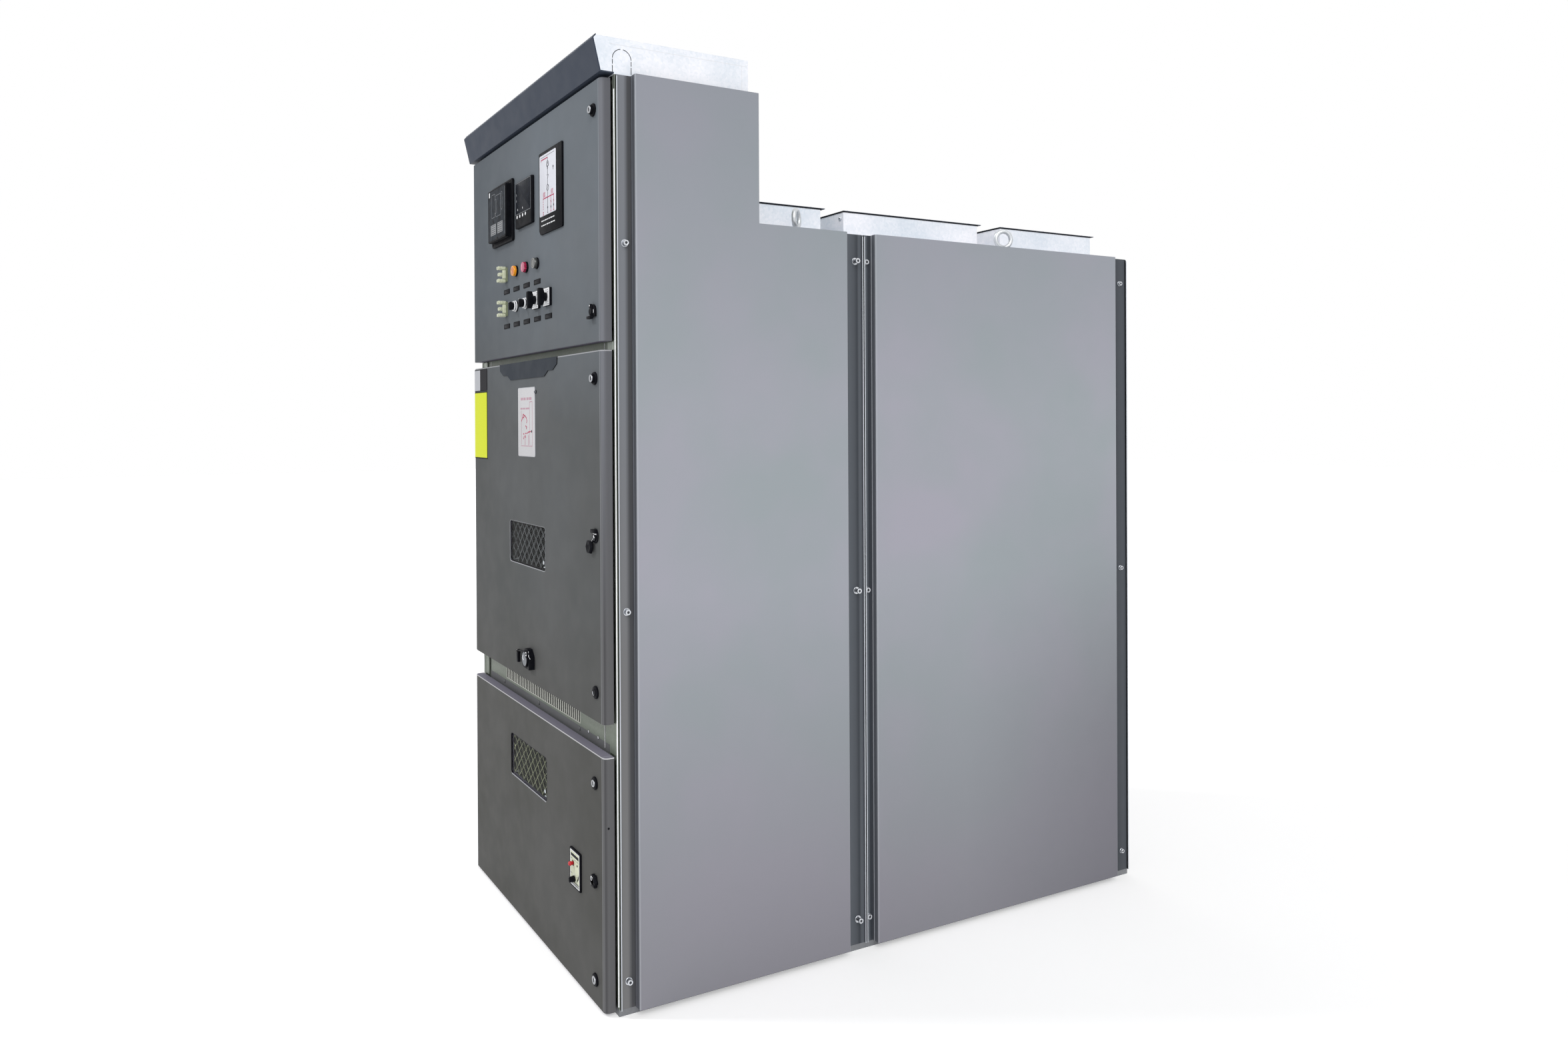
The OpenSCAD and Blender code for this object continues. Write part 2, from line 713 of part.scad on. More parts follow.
module selector_handle(i) color(black) {
    rod_y(column(i), switch_z, head_d - 9, door_face - 16, door_face - 11.3);
    rod_y(column(i), switch_z, switch_shaft_d, door_face - 16, door_face + 8);
    block(column(i) - 4.5, column(i) + 4.5, door_face - 23, door_face - 16,
        switch_z - 11, switch_z + 11);
}

module cam_handle(i) color(black) {
    rod_y(column(i), switch_z, 22, door_face - 15, door_face - 7.3);
    rod_y(column(i), switch_z, switch_shaft_d, door_face - 15, door_face + 8);
    block(column(i) - 7, column(i) + 7, door_face - 29, door_face - 15, switch_z - 22, switch_z + 22);
}

module selector_handle_left() selector_handle(selector_columns[0]);
module selector_handle_right() selector_handle(selector_columns[1]);
module cam_handle_left() cam_handle(cam_columns[0]);
module cam_handle_right() cam_handle(cam_columns[1]);

// Link holders: a base with three prongs
module link_terminals() color(cream) for (z = [lamp_z, switch_z]) {
    x = column(0) - 6;
    block(x - 12, x + 12, door_face - 6, door_face, z - 20, z + 20);
    for (dz = [-17.5, 0, 17.5])
        block(x - 10, x + 10, door_face - 25.5, door_face - 6, z + dz - 4.5, z + dz + 4.5);
}

// Spindle of a quarter-turn lock with its tongue behind the door
module lock_works(x, z) {
    rod_y(x, z, spindle_d, door_face - 1, face_inside + 12);
    block(x - 8, door_right - 14, face_inside + 8, face_inside + 11, z - 8, z + 8);
}

module instrument_lock() color(black) {
    x = instrument_lock_x;
    z = instrument_lock_z;
    rod_y(x, z, rosette_d + 4, door_face - 5, door_face - 0.3);
    block(x - 14, x + 8, door_face - 13, door_face - 5, z - 17, z - 10);
    block(x - 7, x + 5, door_face - 8, door_face - 5, z - 10, z + 16);
    lock_works(x, z);
}

module breaker_door() color(door_grey) {
    difference() {
        door_tray(breaker_door_z, breaker_door_h);
        corner_cut(breaker_door_z, false);
        corner_cut(breaker_door_top, true);
        window_hole(breaker_window_z);
        face_hole(racking_x, racking_z, racking_hole_d);
        face_hole(breaker_lock_x, breaker_lock_z, spindle_d + 2 * pin_gap);
    }
    door_knuckles(breaker_door_z, breaker_door_h);
}

// Plate along the breaker door's top edge, stepped in at both lower corners
module emblem_plate() color(slate) {
    steps = [[0, 0], [3, -18], [31, -32], [64, -32], [93, -emblem_h]];
    right = [for (s = steps) [emblem_half_w - s[0], s[1]]];
    left = [for (i = [4 : -1 : 0]) [-right[i][0], right[i][1]]];
    translate([emblem_x, door_face, breaker_door_top]) rotate([90, 0, 0]) linear_extrude(2)
        polygon(concat(right, left));
}

module breaker_window() window_pane(breaker_window_z);

racking_depth = 16;
cover_pivot = 16;
module racking_housing() color(black) {
    difference() {
        translate([racking_x, door_face, racking_z]) rotate([90, 22.5, 0])
            cylinder(d = racking_w / cos(22.5), h = racking_depth, $fn = 8);
        rod_y(racking_x, racking_z, racking_hole_d, door_face - racking_depth - 1, door_face + 1);
    }
    rod_y(racking_x + cover_pivot, racking_z + cover_pivot, hinge_pin_d,
        door_face - racking_depth - 6, door_face - racking_depth);
    block(racking_x + 14, racking_x + 27, door_face - racking_depth, door_face,
        racking_z - 26, racking_z + 5);
    block(racking_x - 96, racking_x - 86, door_face - 8, door_face, racking_z - 26, racking_z + 8);
}

module racking_cover() color(black)
    translate([racking_x, door_face - racking_depth - 0.3, racking_z]) rotate([90, 0, 0])
        linear_extrude(4) difference() {
            union() {
                circle(d = racking_hole_d + 18, $fn = fine);
                translate([cover_pivot, cover_pivot]) circle(d = 14, $fn = fine);
                rotate(45) translate([0, -6]) square([cover_pivot * sqrt(2), 12]);
            }
            translate([cover_pivot, cover_pivot]) circle(d = hinge_pin_d + 2 * pin_gap, $fn = fine);
        }

module breaker_lock() color(black) {
    x = breaker_lock_x;
    z = breaker_lock_z;
    rod_y(x, z, rosette_d + 4, door_face - 3, door_face - 0.3);
    block(x - 15, x + 12, door_face - 8.5, door_face - 3, z + 6, z + 15);
    rod_y(x - 12, z - 16, 12, door_face - 8, door_face - 2);
    rod_y(x - 20, z - 27, rosette_d - 1, door_face - 12, door_face - 5);
    lock_works(x, z);
}

module cable_door() color(door_grey) {
    difference() {
        door_tray(cable_door_z, cable_door_h);
        window_hole(cable_window_z);
        face_cutout(indicator_x, indicator_z, indicator_w - 8, indicator_h - 8);
        face_hole(cable_lock_x, cable_lock_z, spindle_d + 2 * pin_gap);
    }
    door_knuckles(cable_door_z, cable_door_h);
}

module cable_window() window_pane(cable_window_z);

button_x = indicator_x - 11;
button_z = indicator_z + 12;
knob_x = indicator_x - 2;
knob_z = indicator_z - 23;
button_d = 11;
module voltage_indicator() color(cream) difference() {
    union() {
        rounded_plate_y(indicator_x, indicator_z, indicator_w, indicator_h, 3, door_face - 5, door_face);
        block(indicator_x - indicator_w / 2 + 5, indicator_x + indicator_w / 2 - 5,
            door_face, face_inside + 40, indicator_z - indicator_h / 2 + 5,
            indicator_z + indicator_h / 2 - 5);
    }
    rod_y(button_x, button_z, button_d + 2 * pin_gap, door_face - 8, door_face + 12);
    rod_y(knob_x, knob_z, 6 + 2 * pin_gap, door_face - 8, door_face + 12);
}

module indicator_button() color("firebrick")
    rod_y(button_x, button_z, button_d, door_face - 17, door_face + 6);

module indicator_knob() color(black) {
    rod_y(knob_x, knob_z, 15, door_face - 10, door_face - 5.3);
    block(knob_x - 4, knob_x + 4, door_face - 19, door_face - 10, knob_z - 6.5, knob_z + 6.5);
    rod_y(knob_x, knob_z, 6, door_face - 10, door_face + 10);
}

module cable_lock() color(black) {
    x = cable_lock_x;
    z = cable_lock_z;
    rod_y(x, z, rosette_d - 2, door_face - 9, door_face - 0.3);
    for (a = [0 : 60 : 300])
        rod_y(x + 12 * cos(a), z + 12 * sin(a), 9, door_face - 8, door_face - 3);
    lock_works(x, z);
}

base_frame();
front_posts();
front_rails();
side_walls();
instrument_compartment();
instrument_mounting_plate();
breaker_floor();
shutter_wall();
busbar_partition();
side_panel_front_right();
side_panel_front_left();
side_panel_rear_right();
side_panel_rear_left();
instrument_roof_box();
canopy();
roof_plates();
relief_ducts();
relief_lids();
lifting_eyes();
rear_covers();
hinge_brackets();
instrument_door();
protection_relay();
multimeter();
mimic_panel();
indicator_lamps();
switch_bases();
link_terminals();
instrument_lock();
selector_handle_left();
selector_handle_right();
cam_handle_left();
cam_handle_right();
breaker_door();
emblem_plate();
breaker_window();
racking_housing();
racking_cover();
breaker_lock();
cable_door();
cable_window();
voltage_indicator();
indicator_button();
indicator_knob();
cable_lock();
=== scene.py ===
import json
import math

import bmesh
import bpy
from mathutils import Matrix, Vector


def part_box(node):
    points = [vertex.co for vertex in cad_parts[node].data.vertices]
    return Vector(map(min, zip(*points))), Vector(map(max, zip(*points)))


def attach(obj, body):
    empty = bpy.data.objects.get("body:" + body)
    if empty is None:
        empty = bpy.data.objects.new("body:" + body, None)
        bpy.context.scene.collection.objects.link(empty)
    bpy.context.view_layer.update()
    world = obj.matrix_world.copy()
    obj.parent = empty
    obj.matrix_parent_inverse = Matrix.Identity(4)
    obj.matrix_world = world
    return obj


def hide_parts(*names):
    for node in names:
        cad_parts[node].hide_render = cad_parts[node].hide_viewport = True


mm = 0.001
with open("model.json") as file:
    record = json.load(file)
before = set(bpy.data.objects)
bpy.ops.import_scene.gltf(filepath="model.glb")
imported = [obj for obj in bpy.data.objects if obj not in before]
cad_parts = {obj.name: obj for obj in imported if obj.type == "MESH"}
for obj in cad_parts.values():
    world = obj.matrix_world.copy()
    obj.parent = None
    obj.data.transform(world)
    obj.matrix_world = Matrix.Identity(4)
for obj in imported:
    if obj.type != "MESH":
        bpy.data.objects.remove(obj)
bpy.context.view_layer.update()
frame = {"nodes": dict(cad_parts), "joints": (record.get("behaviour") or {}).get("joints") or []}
nodes = frame["nodes"]
print("frame loaded with", len(nodes), "nodes")


# Small helpers for materials

def linear(hexColour):
    # sRGB hex to the linear values that the sockets take
    channels = [int(hexColour[i:i + 2], 16) / 255 for i in (1, 3, 5)]
    straight = [c / 12.92 if c <= 0.04045 else ((c + 0.055) / 1.055) ** 2.4 for c in channels]
    return (*straight, 1.0)


def join(tree, source, socket):
    # A node stands for its first output
    tree.links.new(source.outputs[0] if isinstance(source, bpy.types.Node) else source, socket)


def addNode(tree, kind, settings):
    # Keys are socket numbers, socket names or the node's own properties; nodes and outputs are linked
    node = tree.nodes.new("ShaderNode" + kind)
    for key, value in settings.items():
        if isinstance(value, (bpy.types.Node, bpy.types.NodeSocket)):
            join(tree, value, node.inputs[key])
        elif isinstance(key, int) or key in node.inputs:
            node.inputs[key].default_value = value
        else:
            setattr(node, key, value)
    return node


socketNames = {"colour": "Base Color", "metallic": "Metallic", "roughness": "Roughness", "ior": "IOR",
               "specular": "Specular IOR Level", "coat": "Coat Weight", "coatRoughness": "Coat Roughness",
               "transmission": "Transmission Weight", "normal": "Normal"}


def newMaterial(name, **sockets):
    # A Principled shader with plain numbers on its own sockets, and the tree to build on
    material = bpy.data.materials.new(name)
    material.use_nodes = True
    tree = material.node_tree
    tree.nodes.clear()
    shader = addNode(tree, "BsdfPrincipled", {socketNames[key]: value for key, value in sockets.items()})
    addNode(tree, "OutputMaterial", {"Surface": shader})
    return material, tree, shader


def plug(tree, shader, **sources):
    for name, source in sources.items():
        join(tree, source, shader.inputs[socketNames[name]])


def mottle(tree, size, low=0, high=1, detail=2.0):
    # Cloudy patches about size millimetres wide, moved onto low..high
    place = addNode(tree, "TexCoord", {}).outputs["Object"]
    cloud = addNode(tree, "TexNoise", {"Scale": 1 / (size * mm), "Detail": detail, "Vector": place})
    return addNode(tree, "MapRange", {"From Min": 0.35, "From Max": 0.65, "To Min": low, "To Max": high,
                                      "Value": cloud})


def twoTone(tree, factor, toneA, toneB):
    # Between two tones, each a hex colour or the output of another mix
    tones = [linear(tone) if isinstance(tone, str) else tone for tone in (toneA, toneB)]
    return addNode(tree, "Mix", {"data_type": "RGBA", 0: factor, 6: tones[0], 7: tones[1]}).outputs[2]


def coordinate(tree, output, axis):
    # One axis of the place or of the normal, along the cabinet's own axes
    place = addNode(tree, "TexCoord", {}).outputs[output]
    return addNode(tree, "SeparateXYZ", {0: place}).outputs[axis]


def placeRamp(tree, axis, low, high):
    # 0 below low and 1 above high, both in mm along one axis of the cabinet
    return addNode(tree, "MapRange", {"From Min": low * mm, "From Max": high * mm,
                                      "Value": coordinate(tree, "Object", axis)})


def faceTurn(tree, axis, low, high):
    # How far a face turns towards one axis of the cabinet, as a ramp from low to high
    turn = addNode(tree, "Math", {"operation": "ABSOLUTE", 0: coordinate(tree, "Normal", axis)})
    return addNode(tree, "MapRange", {"From Min": low, "From Max": high, "Value": turn})


def along(tree, axis, stops):
    # Steps of (distance in mm from the cabinet's middle, value), joined by straight ramps
    far = addNode(tree, "Math", {"operation": "ABSOLUTE", 0: coordinate(tree, "Object", axis)})
    total = None
    for (here, before), (there, after) in zip(stops, stops[1:]):
        start = before if total is None else 0
        if before != after:
            ramp = addNode(tree, "MapRange", {"From Min": here * mm, "From Max": there * mm, "To Min": start,
                                              "To Max": start + after - before, "Value": far})
            total = ramp if total is None else addNode(tree, "Math", {"operation": "ADD", 0: total, 1: ramp})
    return total


# Materials

def steelPaint(name, tone, drift, roughness, specular):
    # Polyester powder coat, sprayed and baked: satin, with a faint orange peel and a slow drift in tone
    material, tree, shader = newMaterial(name, roughness=roughness, specular=specular, ior=1.5)
    paint = twoTone(tree, mottle(tree, 420, detail=3.0), tone, drift)
    # real peel is 0.5 mm wide, drawn at 2.5 mm so that it shows
    peel = addNode(tree, "Bump", {"Strength": 0.1, "Distance": 0.05 * mm,
                                  "Height": mottle(tree, 2.5, detail=1.0)})
    plug(tree, shader, colour=paint, roughness=mottle(tree, 55, roughness - 0.04, roughness + 0.05, 3.0),
         normal=peel)
    return material, tree, shader, paint


def panelCoat():
    # The side panels' pale grey, with light and shade painted in: painted shade low down, high up, at the
    # lower rear corner and in the channels between panels, and painted highlights along the folded edges and
    # lips
    material, tree, shader, paint = steelPaint("powder_coated_steel_light_grey", "#939A9F", "#9C9BA6",
                                               0.5, 0.25)
    # painted shade: darker towards the bottom and, less, towards the top
    heightShade = along(tree, "Z", [(40, 0.85), (950, 0.0), (1400, 0.0), (2140, 0.55)])
    paint = twoTone(tree, heightShade, paint, twoTone(tree, placeRamp(tree, "Z", 900, 1500), "#7B7A81", "#7A8187"))
    # painted shade: darker towards the lower rear corner
    cornerShade = along(tree, "Z", [(40, 0.95), (450, 0.75), (900, 0.25), (1250, 0.0)])
    corner = addNode(tree, "Math", {"operation": "MULTIPLY", 0: placeRamp(tree, "Y", 180, 830), 1: cornerShade})
    paint = twoTone(tree, corner, paint, "#6C6B73")
    # painted shade gathers at the foot of each raised face and in the channels, with a painted shadow line on
    # the front flange
    depth = along(tree, "Y", [(113, 0.1), (121, 0.0), (127, 0.75), (141, 0.6), (150, 0.5), (156, 0.0),
                              (165, 0.3), (185, 0.6), (202, 0.5), (762, 0.3), (790, 0.1), (828, 0.4)])
    rear = twoTone(tree, depth, "#33373D", "#656A71")
    flange = twoTone(tree, placeRamp(tree, "Z", 700, 1500), "#717172", "#777A80")
    front = twoTone(tree, placeRamp(tree, "Y", -808, -798), flange, "#48494C")
    channel = twoTone(tree, placeRamp(tree, "Y", -786, -780), front, rear)
    # painted shade: the returns that face the front are painted darker, and the lips' sides black like the
    # gaps between the sheets
    gap = along(tree, "Y", [(132.5, 0.0), (133, 1.0), (138.5, 1.0), (139, 0.0), (820, 0.0), (822, 1.0)])
    channel = twoTone(tree, faceTurn(tree, "Y", 0.4, 0.8), channel, twoTone(tree, gap, "#5B5E65", "#08090B"))
    raised = along(tree, "X", [(506, 0.0), (507, 1.0), (508.5, 1.0), (509.5, 0.0), (520, 0.1), (524.2, 1.0)])
    grey = twoTone(tree, raised, channel, paint)
    # painted highlight on the lips' outer faces
    lips = along(tree, "X", [(506.2, 0.0), (507, 0.85), (508.5, 0.85), (509.2, 0.0)])
    # the lips behind the front flange are in shade
    shown = addNode(tree, "Math", {"operation": "ADD", "use_clamp": True, 0: placeRamp(tree, "Y", -700, -690),
                                   1: placeRamp(tree, "Y", -808, -812)})
    lipHighlight = addNode(tree, "Math", {"operation": "MULTIPLY", 0: lips, 1: shown})
    # painted highlight along the bends at the edges of the raised faces
    folds = along(tree, "X", [(522, 0.0), (523.6, 0.22), (525.3, 0.22), (525.9, 0.0)])
    plug(tree, shader, colour=twoTone(tree, lipHighlight, twoTone(tree, folds, grey, "#CDD2D8"), "#CDD2D8"))
    return material


def doorCoat():
    # The doors' darker grey, from another batch of powder, with painted shade: cooler high up, and darker and
    # neutral low down and towards the left
    material, tree, shader, paint = steelPaint("powder_coated_steel_dark_grey", "#6A7178", "#686D72",
                                               0.58, 0.06)
    # painted shade: darker towards the left of the doors
    paint = twoTone(tree, placeRamp(tree, "X", -420, 60), "#585E64", paint)
    # painted shade: the lower doors are darker and neutral
    low = twoTone(tree, mottle(tree, 300, detail=3.0), "#4D4D4B", "#545453")
    face = twoTone(tree, along(tree, "Z", [(560, 0.0), (900, 0.2), (1350, 0.3), (1750, 1.0)]), low, paint)
    # painted highlights on the bends, painted shade on the side returns and on the lower doors' bends, and
    # painted light on the top returns
    bend, high = faceTurn(tree, "X", 0.04, 0.35), placeRamp(tree, "Z", 850, 1450)
    lowBend = twoTone(tree, faceTurn(tree, "X", 0.4, 0.7), twoTone(tree, bend, face, "#68686A"), "#4D4D4F")
    bendHighlight = twoTone(tree, high, lowBend, twoTone(tree, bend, face, "#72747A"))
    side = twoTone(tree, faceTurn(tree, "X", 0.8, 1.0), bendHighlight, twoTone(tree, high, "#5E5E60", "#616267"))
    top = twoTone(tree, faceTurn(tree, "Z", 0.6, 0.95), side, "#75737F")
    # painted highlight along the top edges of the two lower doors
    edge = along(tree, "Z", [(587.4, 0.0), (588.2, 0.65), (590.3, 0.65), (590.7, 0.0), (1516.8, 0.0),
                             (1517.8, 0.4), (1519.3, 0.4), (1519.7, 0.0)])
    wornAndLit = twoTone(tree, edge, top, "#E0E0E4")
    # a fine painted highlight where each side bend starts
    crease = along(tree, "X", [(475.4, 0.0), (476.2, 0.5), (477.8, 0.5), (478.6, 0.0)])
    plug(tree, shader, colour=twoTone(tree, crease, wornAndLit, "#A4A6AC"))
    return material


def emblemCoat():
    # The canopy's strip: screen-printed slate, its edges painted black as painted shade
    material, tree, shader, face = steelPaint("screen_printed_slate_sheet", "#272D35", "#2B313A", 0.5, 0.08)
    edgeShade = addNode(tree, "Math", {"operation": "SUBTRACT", 0: 1.0, 1: faceTurn(tree, "Y", 0.5, 0.8)})
    plug(tree, shader, colour=twoTone(tree, edgeShade, face, "#08090B"))
    return material


def zincSheet(name, tone, dark, metallic, roughness, spangle):
    # Hot-dip zinc on rolled sheet: dull metal, with crystals that differ a little in tone and gloss
    material, tree, shader = newMaterial(name, metallic=metallic, roughness=roughness)
    place = addNode(tree, "TexCoord", {}).outputs["Object"]
    drift = addNode(tree, "TexNoise", {"Scale": 1 / (spangle * 1.6 * mm), "Detail": 2.0, "Vector": place})
    warp = addNode(tree, "Mix", {"data_type": "VECTOR", "Factor": 0.004, 4: place, 5: drift.outputs["Color"]})
    cells = addNode(tree, "TexVoronoi", {"Scale": 1 / (spangle * mm), "Vector": warp.outputs[1]})
    grey = addNode(tree, "SeparateColor", {0: cells.outputs["Color"]})
    both = addNode(tree, "Math", {"operation": "MULTIPLY_ADD", 0: grey, 1: 0.35,
                                  2: mottle(tree, 160, 0, 0.65, 3.0)})
    gloss = addNode(tree, "MapRange", {"To Min": roughness - 0.06, "To Max": roughness + 0.08,
                                       "Value": grey.outputs[1]})
    dent = addNode(tree, "Bump", {"Strength": 0.08, "Distance": 0.1 * mm, "Height": mottle(tree, 9)})
    metal = twoTone(tree, both, tone, dark)
    plug(tree, shader, colour=metal, roughness=gloss, normal=dent)
    return material, tree, shader, metal


def railZinc():
    # The front rails' aluzinc, toned darker than the other aluzinc as painted shade under the doors; the
    # walls inside the punched slots are painted near-black as painted shade
    material, tree, shader, metal = zincSheet("aluzinc_coated_rail_sheet", "#747B70", "#687065",
                                              0.4, 0.45, 3.0)
    walls = addNode(tree, "Math", {"operation": "MULTIPLY", 0: faceTurn(tree, "X", 0.6, 0.9),
                                   1: along(tree, "X", [(310, 1.0), (320, 0.0)])})
    # painted highlight on the bars between the slots
    high = along(tree, "Z", [(612, 0.0), (614, 0.9), (660, 0.9), (662, 0.0)])
    across = addNode(tree, "Math", {"operation": "SUBTRACT", 0: placeRamp(tree, "X", -298, -296),
                                    1: placeRamp(tree, "X", 265, 267)})
    bars = addNode(tree, "Math", {"operation": "MULTIPLY", 0: high, 1: across})
    plug(tree, shader, colour=twoTone(tree, walls, twoTone(tree, bars, metal, "#BDBEB6"), "#060706"))
    return material


def mouldedPlastic(name, tone, wornAndLit, roughness, grain=1.2, depth=0.04, **more):
    # Injection-moulded plastic: an even colour with a fine eroded grain and slightly paler high spots
    material, tree, shader = newMaterial(name, roughness=roughness, **more)
    skin = addNode(tree, "Bump", {"Strength": 0.3, "Distance": depth * mm,
                                  "Height": mottle(tree, grain, detail=1.0)})
    plug(tree, shader, colour=twoTone(tree, mottle(tree, 14, detail=4.0), tone, wornAndLit),
         roughness=mottle(tree, 20, roughness - 0.05, roughness + 0.05, 4.0), normal=skin)
    return material


def brightMetal(name, tone, dull, roughness, brush=0.6):
    # Plated or turned metal: a clear reflection, broken by faint lapping marks
    material, tree, shader = newMaterial(name, metallic=1.0, roughness=roughness)
    plug(tree, shader, colour=twoTone(tree, mottle(tree, brush), tone, dull),
         roughness=mottle(tree, brush * 2, roughness, roughness + 0.1))
    return material


def lampLens(name, tone, deep, rib=1.6):
    # Polycarbonate lamp lens, moulded with fine ribs inside: a deep colour under a clear gloss
    material, tree, shader = newMaterial(name, roughness=0.2, ior=1.58, coat=0.3, coatRoughness=0.08)
    place = addNode(tree, "TexCoord", {}).outputs["Object"]
    # the wave repeats every 0.314 units
    ribs = addNode(tree, "TexWave", {"bands_direction": "X", "Scale": 0.314 / (rib * mm),
                                     "Vector": place}).outputs["Fac"]
    ridge = addNode(tree, "Bump", {"Strength": 0.3, "Distance": 0.08 * mm, "Height": ribs})
    plug(tree, shader, colour=twoTone(tree, ribs, tone, deep), normal=ridge)
    return material


def printedSheet(name, tone, faint, roughness, **more):
    # Printed polyester film or engraved laminate: flat and even, with only a trace of grain
    material, tree, shader = newMaterial(name, roughness=roughness, ior=1.5, **more)
    grain = mottle(tree, 3.0, detail=3.0)
    web = addNode(tree, "Bump", {"Strength": 0.1, "Distance": 0.02 * mm, "Height": grain})
    plug(tree, shader, colour=twoTone(tree, grain, tone, faint), normal=web)
    return material


def windowPane(name, tint):
    # Cast acrylic pane: clear and smooth, and lamps shine through it onto what is behind. Its index is kept
    # low, so that it mirrors no more of the pale room than a pane in a dim one
    material, tree, shader = newMaterial(name, colour=linear(tint), roughness=0.02, ior=1.04,
                                         transmission=1.0, specular=0.0)
    shadow = addNode(tree, "LightPath", {}).outputs["Is Shadow Ray"]
    clear = addNode(tree, "BsdfTransparent", {0: linear(tint)})
    output = next(node for node in tree.nodes if node.type == "OUTPUT_MATERIAL")
    join(tree, addNode(tree, "MixShader", {0: shadow, 1: shader, 2: clear}), output.inputs["Surface"])
    return material


panelPaint = panelCoat()
doorPaint = doorCoat()
emblemPaint = emblemCoat()
slatePaint = steelPaint("powder_coated_steel_slate", "#363D4A", "#3B424F", 0.5, 0.15)[0]
coverPaint = steelPaint("powder_coated_steel_cover_grey", "#8E939A", "#9596A0", 0.5, 0.25)[0]
ledgePaint = steelPaint("brushed_on_touch_up_grey", "#5B5C5E", "#636466", 0.6, 0.2)[0]

railSheet = railZinc()
aluzinc = zincSheet("aluzinc_coated_sheet", "#A3AAA0", "#98A098", 0.55, 0.42, 3.0)[0]
postSheet = zincSheet("aluzinc_coated_post_sheet", "#8F968C", "#858C83", 0.5, 0.42, 3.0)[0]
baseSheet = zincSheet("galvanised_base_angle", "#85878A", "#76787C", 0.5, 0.45, 5.0)[0]
galvanised = zincSheet("galvanised_sheet", "#EFEFF4", "#CFD7E0", 0.3, 0.5, 6.0)[0]
castZinc = zincSheet("zinc_plated_forging", "#D0D3D6", "#A4A9AD", 0.7, 0.34, 4.0)[0]
# painted highlight: near-white zinc for the white strip on the posts' noses
noseMetal = zincSheet("zinc_edge_painted_highlight", "#FFFFFF", "#F4F5F7", 0.1, 0.5, 4.0)[0]
chrome = brightMetal("chrome_plated_brass", "#F2F3F5", "#DDDFE4", 0.16)
nickel = brightMetal("nickel_plated_brass", "#B4B6BA", "#95979C", 0.32)
screwZinc = brightMetal("bright_zinc_plated_steel", "#DFE1E5", "#BFC3C9", 0.28)
# blackened steel, and painted shade on the side-panel screws' necks and sockets
darkSteel = brightMetal("blackened_steel_and_painted_shade", "#4A4C50", "#3C3E42", 0.4)

blackPlastic = mouldedPlastic("moulded_black_polyamide", "#0B0C10", "#111217", 0.48, specular=0.05)
blackGloss = mouldedPlastic("polished_black_abs", "#15181F", "#1C2028", 0.3, 3.0, 0.01, specular=0.02)
smokedCover = mouldedPlastic("polished_smoked_cover", "#181C22", "#2A3038", 0.3, 26.0, 0.01, specular=0.02)
creamPlastic = mouldedPlastic("moulded_cream_melamine", "#CFD3BB", "#BEC3A6", 0.4, specular=0.35)
# painted shade: a shaded copy of the cream melamine, for the link holders' base between the prongs
creamShade = mouldedPlastic("moulded_cream_melamine_painted_shade", "#868C74", "#757B63", 0.45, specular=0.2)
whitePlastic = mouldedPlastic("moulded_white_abs", "#EDEEF0", "#E1E2E6", 0.35)
redPlastic = mouldedPlastic("moulded_red_abs", "#B3131F", "#9E0F1A", 0.35)
greyPlastic = mouldedPlastic("moulded_grey_abs", "#6E7277", "#666A70", 0.45)
greenPlastic = mouldedPlastic("moulded_green_polyamide", "#4E7A4A", "#456F42", 0.45)
plumFrame = mouldedPlastic("moulded_plum_grey_frame", "#3A3740", "#33303A", 0.5, specular=0.06)
# rubber and thickly painted strands and boards have the same even skin, only duller
sealRubber = mouldedPlastic("extruded_epdm_rubber", "#0A0A0C", "#101012", 0.7, 2.0, specular=0.04)
greyStrand = mouldedPlastic("painted_expanded_steel", "#515355", "#46484A", 0.5, specular=0.05)
oliveStrand = mouldedPlastic("painted_expanded_steel_olive", "#73755E", "#676953", 0.5, specular=0.05)
oliveBoard = mouldedPlastic("painted_fibreboard_olive", "#1F201A", "#191A14", 0.7, specular=0.0)
# painted shade: the near-black board behind the upper window's screen stands for the dark inside of the
# compartment
darkBoard = mouldedPlastic("dark_board_painted_shade", "#0F0F11", "#0B0B0C", 0.7, specular=0.0)

amberLens = lampLens("ribbed_amber_polycarbonate", "#F2A01A", "#E28E10")
amberDeep = lampLens("ribbed_deep_amber_polycarbonate", "#CC6C06", "#B65A04")
crimsonLens = lampLens("ribbed_crimson_polycarbonate", "#AC1648", "#7E0C30")
pinkLens = lampLens("ribbed_pink_polycarbonate", "#E88CAE", "#DB7299")
smokeLens = lampLens("ribbed_smoke_polycarbonate", "#3E403F", "#303231")
smokeRim = lampLens("ribbed_pale_smoke_polycarbonate", "#7D7F7E", "#6C6E6D")

whiteFilm = printedSheet("printed_white_polyester_film", "#DFE0E3", "#D6D7DB", 0.4, specular=0.15)
lilacFilm = printedSheet("printed_pale_lilac_film", "#DADCE4", "#D5D6DF", 0.4, specular=0.15)
cardFilm = printedSheet("printed_matt_card", "#CACACC", "#C2C1C5", 0.45, specular=0.12)
pinkFilm = printedSheet("printed_faint_pink_film", "#BB98A5", "#B4909E", 0.4, specular=0.1)
redFilm = printedSheet("printed_red_film", "#B22E58", "#A8264F", 0.4, specular=0.1)
darkFilm = printedSheet("printed_charcoal_film", "#17171B", "#1E1E23", 0.45, specular=0.04)
greyFilm = printedSheet("printed_grey_film", "#8B8D90", "#84868A", 0.45, specular=0.1)
paleFilm = printedSheet("printed_pale_grey_film", "#B4B6BB", "#ABADB3", 0.45, specular=0.15)
yellowFilm = printedSheet("printed_yellow_film", "#D6DF10", "#CDD60C", 0.4, specular=0.08)
blackLaminate = printedSheet("engraved_black_laminate", "#0A0A0D", "#101014", 0.5, specular=0.03)
clearPane = windowPane("cast_clear_acrylic", "#F6F8F8")

